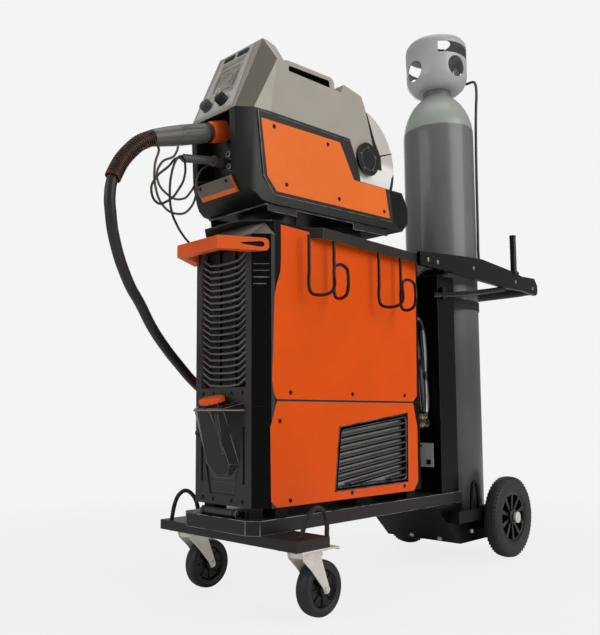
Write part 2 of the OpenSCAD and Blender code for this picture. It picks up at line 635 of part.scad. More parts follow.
// ---- feeder cradle ----
module feeder_cradle() color("dimgray") {
    tilted() {
        box([-cradle_half, cradle_half], [90, 580], [base_z - 4, base_z]);
        both() box([cradle_half - sheet, cradle_half], [96, 198], [base_z - 18, base_z - 4]);
        both() box([cradle_half - sheet, cradle_half], [421, 577], [base_z - 20, base_z - 4]);
    }
    in_place() {
        rise(rail_top, rail_top + 5) polygon([[-50, 10], [50, 10], [cradle_half, 60], [cradle_half, 520],
            [-cradle_half, 520], [-cradle_half, 60]]);
        difference() {
            for (y = [150, 420]) post(0, y, rail_top + 5, rail_top + 80, 150);
            rotate([tilt, 0, 0]) box([-200, 200], [-50, 800], [base_z - 4, base_z + 200]);
        }
    }
}

// ---- wire feeder, in its tilted frame ----
hump_top = [126.5, 1368];
panel_y = 24;
slab = 0.2;
panel_lean = atan2(hump_top[0] - panel_y, hump_top[1] - lid_line - 2 * slab);
plug_drop = 19.8 - tilt;
socket_at = [60.8, 1141.4];
wire_dir = [cos(plug_drop), sin(plug_drop)];
nip = socket_at + 103 * wire_dir;
roll_r = 16;
module feeder_base() color("#1e211f") tilted() {
    w = feed_wall;
    difference() {
        intersection() {
            across(-feed_half, feed_half) polygon(base_side);
            rise(base_z - 1, lid_line + 1) polygon(feed_plan);
        }
        intersection() {
            across(-feed_half + w, feed_half - w) polygon([[80, lid_line + 2], [80, 1012], [100, 960],
                [115, base_z + w], [636, base_z + w], [665, 975], [669, 1015], [650, 1050], [646, deck_z - w],
                [452, deck_z - w], [452, lid_line + 2]]);
            rise(base_z - 1, lid_line + 3) polygon(drawn_in(feed_plan, w));
        }
        // the spool reaches down through the deck
        box([-dome_half + 8, dome_half - 8], [450, 623], [deck_z - w - 1, deck_z + 1]);
        // recess for the connectors
        across(-62, 62) polygon([[0, lid_line + 2], [0, 1014], [20, 1002], [75, 1014], [75, lid_line + 2]]);
    }
    // socket of the gun connector
    translate([0, socket_at[0], socket_at[1]]) rotate([-90 + plug_drop, 0, 0]) difference() {
        cylinder(d = 54, h = 22);
        translate([0, 0, 14.5 / cos(plug_drop)]) rotate([-plug_drop, 0, 0]) translate([-40, -40, 0])
            cube([80, 80, 40]);
    }
}
panel_side = [[77, 1146], [90, 1009], [120, 976], [580, 975], [565, 1058], [422, 1058], [369, 1150]];
module feeder_panels() color("orangered") tilted() {
    both() across(feed_half, feed_half + 2) polygon(panel_side);
    both() for (p = [[119, 1134], [318, 1133], [155, 998], [355, 995], [554, 991]])
        rod_x(feed_half + 2, feed_half + 3.4, p[0], p[1], 8);
    // pale lip below the connector recess
    across(-62, 62) polygon([[14, 1006], [22, 1010], [45, 975], [36, 972]]);
}
module hump(g) hull() {
    h = feed_half - g;
    rise(lid_line - min(g, 1), lid_line + slab) polygon([[-80 + g, panel_y + g], [80 - g, panel_y + g], [107 - g, 61 + g], [h, 111],
        [h, 168 - g], [-h, 168 - g], [-h, 111], [-107 + g, 61 + g]]);
    rise(1309 - g, 1309.2 - g) polygon([[-100 + g, 127 + g], [100 - g, 127 + g], [h, 142], [h, 168 - g],
        [-h, 168 - g], [-h, 142]]);
    rise(1355 - g, 1355.2 - g) polygon([[-88 + g, 140 + g], [88 - g, 140 + g], [88 - g, 162 - g],
        [-88 + g, 162 - g]]);
    rise(hump_top[1] - slab - g, hump_top[1] - g) polygon([[-80 + g, hump_top[0] + g],
        [80 - g, hump_top[0] + g], [80 - g, 142 - g],
        [-80 + g, 142 - g]]);
}
module feeder_lid() color("#a39c92") tilted() difference() {
    w = feed_wall;
    union() {
        across(-feed_half, feed_half) polygon(lid_side);
        hump(0);
        // carry handle
        across(-110, 110) polygon([[165, 1288], [165, 1306], [172, 1315], [180, 1317.5], [346, 1321], [355, 1317],
            [360, 1308], [360, 1288]]);
    }
    across(-feed_half + w, feed_half - w) polygon([[150, lid_line - 100], [600, lid_line - 100], [600, 1299],
        [473, 1299], [401, 1310.5], [386, 1287], [150, 1286]]);
    hump(w);
    across(-120, 120) polygon([[184, 1290], [184, 1301], [188, 1305.5], [337, 1310], [340, 1306], [340, 1290]]);
    both() rod_x(feed_half - w - 1, feed_half + 1, hub[0], hub[1], 24 + 2 * pin_gap);
}
module cheek(r, h) {
    square([r - 30, h]);
    square([r, h - 30]);
    translate([r - 30, h - 30]) circle(r = 30, $fn = 64);
}
dome_half = feed_half - feed_wall - 4;
module spool_dome() color("#8d8a85") tilted() {
    intersection() {
        translate([0, hub[0], hub[1]]) rotate([0, 90, 0]) rotate_extrude($fn = 96) difference() {
            for (m = [0, 1]) mirror([0, m]) intersection() {
                cheek(dome_r, dome_half);
                square(dome_r);
            }
            for (m = [0, 1]) mirror([0, m]) intersection() {
                cheek(dome_r - feed_wall, dome_half - feed_wall);
                square(dome_r);
            }
        }
        across(-120, 120) polygon([[430, deck_z], [628, deck_z], [700, 1120], [700, 1330], [430, 1330]]);
    }
    // hinge pins with their hub caps, and the spool's spindle
    both() {
        rod_x(dome_half, feed_half - feed_wall - joint_gap, hub[0], hub[1], 40);
        rod_x(dome_half, feed_half + joint_gap, hub[0], hub[1], 24);
        rod_x(feed_half + joint_gap, feed_half + 8, hub[0], hub[1], hub_d);
    }
    rod_x(-dome_half + feed_wall, spool_w / 2 + 6, hub[0], hub[1], 50);
}

panel_l = 213;
module on_panel() tilted() translate([0, panel_y, lid_line + slab]) rotate([-panel_lean, 0, 0]) children();
knob_at = [28, 33];
key_x = [6, 44];
key_z = [190, 204];
module control_panel() color("#c8c8c4") on_panel() difference() {
    along(-4, -0.2) polygon([[-66, 6], [66, 6], [55, panel_l], [-55, panel_l]]);
    along(-5, -2.5) polygon([[-47, 64], [47, 64], [43, 182], [-43, 182]]);
    both() rod_y(knob_at[0], -5, 1, knob_at[1], 8 + 2 * pin_gap);
    both() box([key_x[0] - gap, key_x[1] + gap], [-5, 1], [key_z[0] - gap, key_z[1] + gap]);
}
module key_right() color("#2b2b2b") on_panel() box(key_x, [-6.5, -0.3 - key_travel], key_z);
module key_left() color("#2b2b2b") on_panel() mirror([1, 0, 0]) box(key_x, [-6.5, -0.3 - key_travel], key_z);
module knob() {
    rod_y(knob_at[0], -24, -4 - joint_gap, knob_at[1], knob_d);
    rod_y(knob_at[0], -4 - joint_gap, -0.3, knob_at[1], 8);
    box([knob_at[0] - 1.5, knob_at[0] + 1.5], [-25, -22], [knob_at[1], knob_at[1] + knob_d / 2 - 1]);
}
module knob_right() color("#1c1c1e") on_panel() knob();
module knob_left() color("slategray") on_panel() mirror([1, 0, 0]) knob();

module wire_spool() color("#26262a") tilted() translate([0, hub[0], hub[1]]) rotate([0, 90, 0]) {
    h = spool_w / 2;
    // hub tube, web, wound rim and flanges
    rotate_extrude($fn = 96) polygon([[25 + pin_gap, -h], [30, -h], [30, -2], [105, -2], [105, -h],
        [spool_d / 2, -h], [spool_d / 2, -h + 4],
        [spool_d / 2 - 16, -h + 4], [spool_d / 2 - 16, h - 4], [spool_d / 2, h - 4], [spool_d / 2, h],
        [105, h], [105, 2], [30, 2], [30, h], [25 + pin_gap, h]]);
}
lower = nip + (roll_r + 0.2) * [wire_dir[1], -wire_dir[0]];
upper = nip - (roll_r + 0.2) * [wire_dir[1], -wire_dir[0]];
arm_pivot = upper + [44, 14];
module drive_unit() color("#77787a") tilted() {
    // motor on the floor and the plate that carries rolls and arm
    box([-72, -24], [116, 235], [base_z + feed_wall, 1120]);
    across(-24, -14) polygon([[112, 1110], [230, 1110], [230, 1206], [205, 1214], [112, 1160]]);
    rod_x(-14, 9, lower[0], lower[1], 8);
    rod_x(-14, -9, arm_pivot[0], arm_pivot[1], 8);
    // wire guides before and after the rolls
    for (s = [[19, 62], [-80, -19]]) let(a = nip + s[0] * wire_dir, b = nip + s[1] * wire_dir)
        bar([0, a[0], a[1]], [0, b[0], b[1]], 8);
    for (s = [40, -30]) let(a = nip + s * wire_dir) bar([-14, a[0], a[1]], [-3, a[0], a[1]], 6);
}
module roll(p) difference() {
    rod_x(-8, 8, p[0], p[1], 2 * roll_r);
    rod_x(-9, 9, p[0], p[1], 8 + 2 * pin_gap);
}
module drive_roll() color("silver") tilted() roll(lower);
module idler_roll() color("silver") tilted() roll(upper);
module pressure_arm() color("orangered") tilted() {
    difference() {
        across(-13.6, -9.4) polygon([[arm_pivot[0] + 10, arm_pivot[1] - 6], [arm_pivot[0] + 10, arm_pivot[1] + 9],
            [upper[0] - 30, upper[1] + 14], [upper[0] - 34, upper[1] + 4], [upper[0] - 8, upper[1] - 9],
            [upper[0] + 10, upper[1] - 8]]);
        rod_x(-14, -9, arm_pivot[0], arm_pivot[1], 8 + 2 * pin_gap);
    }
    rod_x(-9.4, 9, upper[0], upper[1], 8);
    // pressure screw and its grip
    rod_x(-9.4, 4, upper[0] - 26, upper[1] + 8, 12);
}

// ---- gun connector, cable and gun ----
plug_at = turned([0, socket_at[0], socket_at[1]], tilt);
plug_l = 229;
collar_l = 53;
module on_plug() in_place() translate(plug_at) rotate([109.8, 0, 0]) children();
module gun_plug() color("#33373a") {
    on_plug() {
        cylinder(d = 30, h = collar_l + 1);
        translate([0, 0, collar_l + 1]) cylinder(d = 46, h = 120);
        translate([0, 0, collar_l + 121]) cylinder(d1 = 46, d2 = 38, h = plug_l - collar_l - 121);
    }
    // control plug with its ribbed boot
    tilted() rod_y(0, 20, 75, 1059, 26);
    in_place() {
        bar([0, -33.6, 1058.7], [0, -130, 1041], 17);
        for (k = [0 : 9]) let(a = [0, -38 - 9 * k, 1057.9 - 1.65 * k]) bar(a, a + [0, -4, -0.73], 20);
    }
}
module gun_collar() color("orangered") on_plug() difference() {
    union() {
        translate([0, 0, joint_gap]) cylinder(d = 50, h = collar_l - 2 * joint_gap + 0.5);
        for (a = [0 : 30 : 330]) rotate([0, 0, a]) translate([24, 0, joint_gap]) cylinder(d = 6, h = collar_l - 6);
    }
    translate([0, 0, -1]) cylinder(d = 30 + 2 * joint_gap, h = collar_l + 3);
}
module gun_hose() color("#262626") in_place() swept(hose_route, hose_d, 10);
spring_end = 3 * spring_last;
spring_wire = 3;
spring_route = [for (i = [0 : len(hose_route) - 1]) if (i != 1) hose_route[i]];
spring_axis = let(p = smooth(spring_route, 3)) [for (i = [0 : spring_end]) p[i]];
spring_n = normals(spring_axis, 0, [1, 0, 0]);
function on_spring(u) = let(s = min(u, 0.9999) * spring_end, i = floor(s), f = s - i,
    c = spring_axis[i] * (1 - f) + spring_axis[i + 1] * f, t = heading(spring_axis, i),
    n = squared(spring_n[i] * (1 - f) + spring_n[i + 1] * f, t), m = cross(t, n), a = 360 * spring_turns * u)
    c + (spring_d - spring_wire) / 2 * (n * cos(a) + m * sin(a));
spring_run = [for (k = [0 : spring_turns * 8]) on_spring(0.010 + 0.976 * k / (spring_turns * 8))];
echo(least_spring_gap = min([for (k = [0 : len(spring_run) - 9]) norm(spring_run[k + 8] - spring_run[k])]) - spring_wire);
module gun_spring() color("#5a3a30") in_place() swept(spring_run, spring_wire, 6);

function coil_point(a) = let(r = coil_r - (coil_r - coil_inner) * ramp((a - 810) / 60))
    [coil_x - coil_step * (ramp((a - 455) / 120) + ramp((a - 950) / 110)),
     coil_at[0] + r * cos(a), coil_at[1] + r * sin(a)];
coil_loop = [for (a = [coil_turn[0] : 15 : coil_turn[1]]) coil_point(a)];
coil_run = concat([[-172, 125, 494], [-172, 148.9, 486.6]], coil_loop, tail_route);
module gun_coil() color("#262626") in_place() swept(coil_run, hose_d, 6);
echo(least_coil_gap = min([for (i = [0 : len(coil_run) - 1], j = [i + 14 : 1 : len(coil_run) - 1])
    norm(coil_run[i] - coil_run[j])]) - hose_d);
echo(gun_cable_length = travelled(hose_route, len(hose_route) - 1) + travelled(coil_run, len(coil_run) - 1));

gun_x = -185;
gun_z = 755.3;
module gun_body() color("#33373a") in_place() {
    difference() {
        rod_y(gun_x, 505, 645, gun_z, 36);
        box([gun_x - 6.5, gun_x + 6.5], [584, 628], [gun_z - 20, gun_z - 6]);
    }
    bent_bar([[gun_x, 645, gun_z], [gun_x, 680, gun_z - 1], [gun_x, 712, gun_z - 16], [gun_x, 740, gun_z - 44]], 18);
    bar([gun_x, 730, gun_z - 34], [gun_x, 772, gun_z - 76], 24);
    rod_x(gun_x - 6.5, gun_x + 6.5, 590, gun_z - 13, 3);
}
module gun_trigger() color("orangered") in_place() difference() {
    box([gun_x - 6, gun_x + 6], [586, 622], [gun_z - 24, gun_z - 11]);
    rod_x(gun_x - 7, gun_x + 7, 590, gun_z - 13, 3 + 2 * pin_gap);
}
module control_cable() color("#222222") in_place() swept(control_route, lead_d, 8);
module sense_cable() color("#222222") in_place() swept(sense_route, lead_d, 8);

// ---- gas cylinder ----
gas_top = platform_z + gas_h;
function gas_profile(g) = let(r = gas_d / 2 - g, s = gas_top - 146)
    [[0, platform_z + g], [r - 6, platform_z + g], [r, platform_z + 8 + g], [r, s], [r - 1, s + 18 - g], [r - 4.5, s + 40 - g],
        [r - 11, s + 62 - g], [r - 20.5, s + 84 - g], [r - 33, s + 106 - g], [r - 47.5, s + 123 - g],
        [r - 61.5, s + 137 - g], [r - 70, s + 144 - g], [r - 72, s + 146 - 2 * g], [0, gas_top - 2 * g]];
module gas_cylinder() color("#6f6f70") in_place() translate([0, gas_y, 0]) {
    rotate_extrude($fn = 96) difference() {
        polygon(gas_profile(0));
        polygon(gas_profile(6));
    }
    post(0, 0, gas_top, gas_top + 40, 94);
}
reg_turn = 70;
module cylinder_valve() color("#b08d45") in_place() translate([0, gas_y, 0]) {
    post(0, 0, gas_top + 40, 1672, 34);
    post(0, 0, 1672, 1712, 8);
    // regulator towards the back, with its two gauges and the hose barb
    rotate([0, 0, reg_turn]) {
        rod_x(15, 26, 0, 1608, 20);
        rod_x(26, 62, 0, 1608, 46);
        rod_x(62, 80, 0, 1608, 9);
        for (s = [-1, 1]) rod_y(44, s < 0 ? -52 : 20, s < 0 ? -20 : 52, 1618, 30);
    }
}
module valve_handwheel() color("#2b2b2b") in_place() translate([0, gas_y, 0]) difference() {
    union() {
        post(0, 0, 1682, 1706, 52);
        for (a = [0 : 60 : 300]) rotate([0, 0, a]) post(27, 0, 1682, 1706, 12);
    }
    post(0, 0, 1680, 1710, 8 + 2 * pin_gap);
}
guard_r = 103;
function guard_profile(g) = [[48, 1558 - 2 * g], [62, 1554 + g], [80 - g, 1560 + g], [93 - g, 1572], [guard_r - 2.5 - g, 1587],
    [guard_r - g, 1604], [guard_r - g, 1702], [guard_r - 2 - g, 1714], [95 - g, 1723 - g], [84 - g, 1729 - g],
    [62, 1733 - g], [50, 1733 - g]];
guard_turn = -16;
module valve_guard() color("#9a9c9c") in_place() translate([0, gas_y, 0]) difference() {
    union() {
        rotate_extrude($fn = 96) difference() {
            polygon(guard_profile(0));
            polygon(concat([[40, 1561], [62, 1558]], [for (i = [2 : 9]) guard_profile(4)[i]],
                [[62, 1729], [40, 1729]]));
        }
        // collar that clamps on the neck ring
        difference() {
            post(0, 0, 1554, 1561, 120);
            post(0, 0, 1553, 1562, 94.4);
        }
    }
    for (a = [0 : 90 : 270]) rotate([0, 0, guard_turn + a]) rod_x(70, 120, 0, 1615, 70);
    for (a = [0, 180]) rotate([0, 0, guard_turn + a]) box([70, 120], [-64, 64], [1658, 1697]);
}
module gas_hose() color("#2b2b28") in_place() swept(gas_route, gas_hose_d, 8);

front_beam();
base_tray();
rear_platform();
cylinder_column();
top_rails();
cable_hooks();
push_handle();
frame_hardware();
caster_fork_left();
caster_fork_right();
caster_wheel_left();
caster_wheel_right();
brake_pedal();
rear_wheel_left();
rear_wheel_right();
cooler_case();
cooler_mask();
coolant_tank();
filler_cap();
cooler_panels();
cooler_grilles();
cooler_core();
cooler_fan();
rear_fittings();
power_case();
power_mask();
power_handle();
power_panels();
power_switch();
power_fan();
feeder_cradle();
feeder_base();
feeder_panels();
feeder_lid();
spool_dome();
control_panel();
key_left();
key_right();
knob_left();
knob_right();
wire_spool();
drive_unit();
drive_roll();
pressure_arm();
idler_roll();
gun_plug();
gun_collar();
gun_spring();
gun_hose();
gun_coil();
gun_body();
gun_trigger();
control_cable();
sense_cable();
gas_cylinder();
cylinder_strap();
cylinder_valve();
valve_handwheel();
valve_guard();
gas_hose();
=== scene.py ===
"""Looks of a wire welding set on its wheeled cart, built round the packed frame."""

import json
import math

import bmesh
import bpy
from bpy.props import FloatProperty, FloatVectorProperty, IntProperty, PointerProperty
from mathutils import Matrix, Vector
from mathutils.bvhtree import BVHTree


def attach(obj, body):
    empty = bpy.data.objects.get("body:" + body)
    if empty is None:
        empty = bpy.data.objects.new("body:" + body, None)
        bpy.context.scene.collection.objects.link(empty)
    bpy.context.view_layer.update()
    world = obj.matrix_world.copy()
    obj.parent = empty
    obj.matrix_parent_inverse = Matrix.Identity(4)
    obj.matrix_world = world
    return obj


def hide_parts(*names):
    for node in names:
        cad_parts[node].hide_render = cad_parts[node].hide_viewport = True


bl_info = {
    "name": "Welding Set on a Cart",
    "version": (1, 0, 0),
    "blender": (4, 5, 0),
    "location": "View3D > Sidebar > Welding Set",
    "description": "Builds the finished pieces of a wire welding set on a wheeled cart",
    "category": "Object",
}

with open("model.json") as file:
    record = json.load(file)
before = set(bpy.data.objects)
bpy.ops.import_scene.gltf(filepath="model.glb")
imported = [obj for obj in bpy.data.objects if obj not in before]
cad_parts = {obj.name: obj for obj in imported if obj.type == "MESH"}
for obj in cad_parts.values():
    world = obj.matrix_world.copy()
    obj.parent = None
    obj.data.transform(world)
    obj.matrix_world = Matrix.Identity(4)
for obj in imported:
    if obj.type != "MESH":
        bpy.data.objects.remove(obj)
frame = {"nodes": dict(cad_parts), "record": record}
NODES = frame["nodes"]
BODY_OF = {
    node: body
    for body, members in frame["record"]["behaviour"]["bodies"].items()
    for node in members
}
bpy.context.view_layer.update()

# ---- frames the pieces are drawn in, all in millimetres ----
MM = 0.001
MIDDLE = 636.5  # the row frame's origin along the cart
TILT = math.radians(2.9)
CART = Matrix.Diagonal((MM, MM, MM, 1)) @ Matrix.Translation((0, -MIDDLE, 0))
FEEDER = CART @ Matrix.Rotation(TILT, 4, "X")
PANEL_LEAN = math.atan2(126.5 - 24, 1368 - 1170 - 0.4)
PANEL = (
    FEEDER
    @ Matrix.Translation((0, 24, 1170.2))
    @ Matrix.Rotation(-PANEL_LEAN, 4, "X")
)
PLUG_AT = Matrix.Rotation(TILT, 3, "X") @ Vector((0, 60.8, 1141.4))
PLUG = CART @ Matrix.Translation(PLUG_AT) @ Matrix.Rotation(math.radians(109.8), 4, "X")
CAP = CART @ Matrix.Translation((0, -30, 471)) @ Matrix.Rotation(math.radians(14), 4, "X")
GAS = CART @ Matrix.Translation((0, 982, 0))
REGULATOR = GAS @ Matrix.Rotation(math.radians(70), 4, "Z")
MIRROR = Matrix.Diagonal((-1, 1, 1, 1))

# ---- places and sizes that several pieces share ----
HUB = (484, 1126)  # y and z of the lid's hinge, in the feeder's frame
CASTER_X, CASTER_Y, CASTER_R = 194.5, 118, 62.5
WHEEL_X, WHEEL_Y, WHEEL_R = 183.5, 1042, 125
GRIP = (1337, 890)  # y and z of the push handle's grip
POST = (161, 1183)  # x and y of the hose post
REAR = 636  # y of the rear panels
SIDE = 131.4  # just inside the outer face of the orange panels
FEEDER_SIDE = 113.9
SCREW_FACE = 0.2  # the CAD screws stand this far out of a panel
HANDLE_BEND = (74, -82)  # x and y where the bar handle turns back into its arms
HANDLE_LEAN = math.radians(60.85)
GUN_X, GUN_Z = -185, 755.3  # the gun's grip over the rear hook

# ---- camera and floor, in metres ----
CAMERA_AT = (1.2776, -1.7532, 0.4520)
CAMERA_TURN = (95.37, 0.13, 45.15)
CAMERA_LENS, CAMERA_SENSOR = 40.39, 36.0
CAMERA_SHIFT = (0.0493, 0.0452)
PAPER = 244
FLOOR_RADIUS = 14.0
FLOOR_FADE = (1.0, 2.4)
FLOOR_GLOW = 0.90


def tone(red, green, blue):
    """Linear colour of a display colour given as 0 to 255."""
    return tuple(
        c / 12.92 if c <= 0.04045 else ((c + 0.055) / 1.055) ** 2.4
        for c in (red / 255, green / 255, blue / 255)
    )


# ---- finishes ----
class Value:
    """One value on its way through a finish; sums on it add Math nodes."""

    def __init__(self, finish, socket):
        self.finish = finish
        self.socket = socket

    def _sum(self, operation, left, right):
        node = self.finish.node(
            "ShaderNodeMath", {"operation": operation}, {0: left, 1: right}
        )
        return Value(self.finish, node.outputs[0])

    def __add__(self, other):
        return self._sum("ADD", self, other)

    __radd__ = __add__

    def __sub__(self, other):
        return self._sum("SUBTRACT", self, other)

    def __rsub__(self, other):
        return self._sum("SUBTRACT", other, self)

    def __mul__(self, other):
        return self._sum("MULTIPLY", self, other)

    __rmul__ = __mul__


class Finish:
    """A material and its Principled shader, with one method that adds a node."""

    def __init__(self, name):
        self.material = bpy.data.materials.new(name)
        self.material.use_nodes = True
        self.tree = self.material.node_tree
        self.tree.nodes.clear()
        self.shader = self.node("ShaderNodeBsdfPrincipled")
        self.out = self.node(
            "ShaderNodeOutputMaterial", values={"Surface": self.shader.outputs[0]}
        )
        self.place = Value(
            self, self.node("ShaderNodeTexCoord").outputs["Object"]
        )

    def node(self, kind, settings=None, values=None):
        node = self.tree.nodes.new(kind)
        for key, setting in (settings or {}).items():
            if key == "stops":
                ramp = node.color_ramp
                while len(ramp.elements) < len(setting):
                    ramp.elements.new(0.5)
                for element, (spot, shade) in zip(ramp.elements, setting):
                    element.position = spot
                    element.color = (*shade, 1) if len(shade) == 3 else shade
            else:
                setattr(node, key, setting)
        for key, value in (values or {}).items():
            if isinstance(value, Value):
                value = value.socket
            if isinstance(value, bpy.types.NodeSocket):
                self.tree.links.new(value, node.inputs[key])
            else:
                node.inputs[key].default_value = value
        return node

    def value(self, kind, settings=None, values=None, output=0):
        return Value(self, self.node(kind, settings, values).outputs[output])

    def axis(self, letter):
        split = self.node("ShaderNodeSeparateXYZ", values={0: self.place})
        return Value(self, split.outputs[letter])

    def noise(self, scale, detail=3.0, rough=0.5, place=None):
        return self.value(
            "ShaderNodeTexNoise",
            values={
                "Vector": place or self.place,
                "Scale": scale,
                "Detail": detail,
                "Roughness": rough,
            },
        )

    def stretched(self, scale):
        """Object coordinates scaled apart, for brushed and drawn surfaces."""
        return self.value("ShaderNodeMapping", values={"Vector": self.place, "Scale": scale})

    def ramp(self, value, *stops):
        return self.value("ShaderNodeValToRGB", {"stops": stops}, {0: value})

    def mix(self, share, first, second, blend="MIX"):
        node = self.node(
            "ShaderNodeMix",
            {"data_type": "RGBA", "blend_type": blend},
            {0: share, 6: self._shade(first), 7: self._shade(second)},
        )
        return Value(self, node.outputs[2])

    @staticmethod
    def _shade(value):
        return (*value, 1) if isinstance(value, tuple) and len(value) == 3 else value

    def step(self, value, low, high):
        node = self.node(
            "ShaderNodeMapRange",
            {"interpolation_type": "SMOOTHSTEP"},
            {0: value, 1: low, 2: high, 3: 0.0, 4: 1.0},
        )
        return Value(self, node.outputs[0])

    def bump(self, height, depth, strength=1.0):
        self.set(
            Normal=self.value(
                "ShaderNodeBump",
                values={"Height": height, "Distance": depth, "Strength": strength},
            )
        )

    def set(self, **inputs):
        for key, value in inputs.items():
            socket = self.shader.inputs[key.replace("_", " ")]
            if isinstance(value, Value):
                self.tree.links.new(value.socket, socket)
            else:
                socket.default_value = self._shade(value)


FINISHES = {}


def coated(
    name,
    colour,
    rough,
    drift=0.10,
    grain=700.0,
    relief=0.00012,
    coat=0.0,
    metal=0.0,
    edge=None,
    dust=None,
    rough_drift=0.12,
    shine=0.5,
):
    """Paint or moulded plastic: a drifting colour, fine grain and lighter edges."""
    f = Finish(name)
    slow = f.noise(7.0, 4.0, 0.55)
    fine = f.noise(grain, 2.0)
    dark = tuple(c * (1 - drift) for c in colour)
    light = tuple(min(1, c * (1 + drift)) for c in colour)
    shade = f.ramp(slow, (0.3, dark), (0.7, light))
    if dust:
        specks = f.step(f.noise(38.0, 6.0, 0.7), 0.56, 0.80)
        shade = f.mix(specks * dust[1], shade, dust[0])
    # painted highlight: the rounded edges are painted lighter, in patches
    if edge:
        edge_highlight = f.value("ShaderNodeAttribute", {"attribute_name": "edge"}, output=2)
        patchy_highlight = edge_highlight * f.step(f.noise(26.0, 4.0), 0.30, 0.62)
        shade = f.mix(patchy_highlight * edge[1], shade, edge[0])
    f.set(
        Base_Color=shade,
        Roughness=rough + (slow - 0.5) * rough_drift + (fine - 0.5) * 0.06,
        Metallic=metal,
        Coat_Weight=coat,
    )
    f.shader.inputs["Coat Roughness"].default_value = 0.12
    f.shader.inputs["Specular IOR Level"].default_value = shine
    f.bump(fine, relief)
    FINISHES[name] = f.material
    return f


def drawn_metal(name, colour, rough, grain=(8.0, 600.0, 600.0), tarnish=None, metal=1.0):
    """Plated or machined metal with a drawn grain and a little tarnish."""
    f = Finish(name)
    lines = f.noise(1.0, 3.0, place=f.stretched(grain))
    slow = f.noise(16.0, 5.0, 0.6)
    shade = f.ramp(
        slow,
        (0.25, tuple(c * 0.82 for c in colour)),
        (0.75, tuple(min(1, c * 1.08) for c in colour)),
    )
    if tarnish:
        shade = f.mix(f.step(f.noise(45.0, 5.0, 0.65), 0.55, 0.75) * tarnish[1], shade, tarnish[0])
    f.set(
        Base_Color=shade, Metallic=metal,
        Roughness=rough + (lines - 0.5) * 0.25 + (slow - 0.5) * 0.1,
    )
    f.bump(lines, 0.00006)
    FINISHES[name] = f.material
    return f


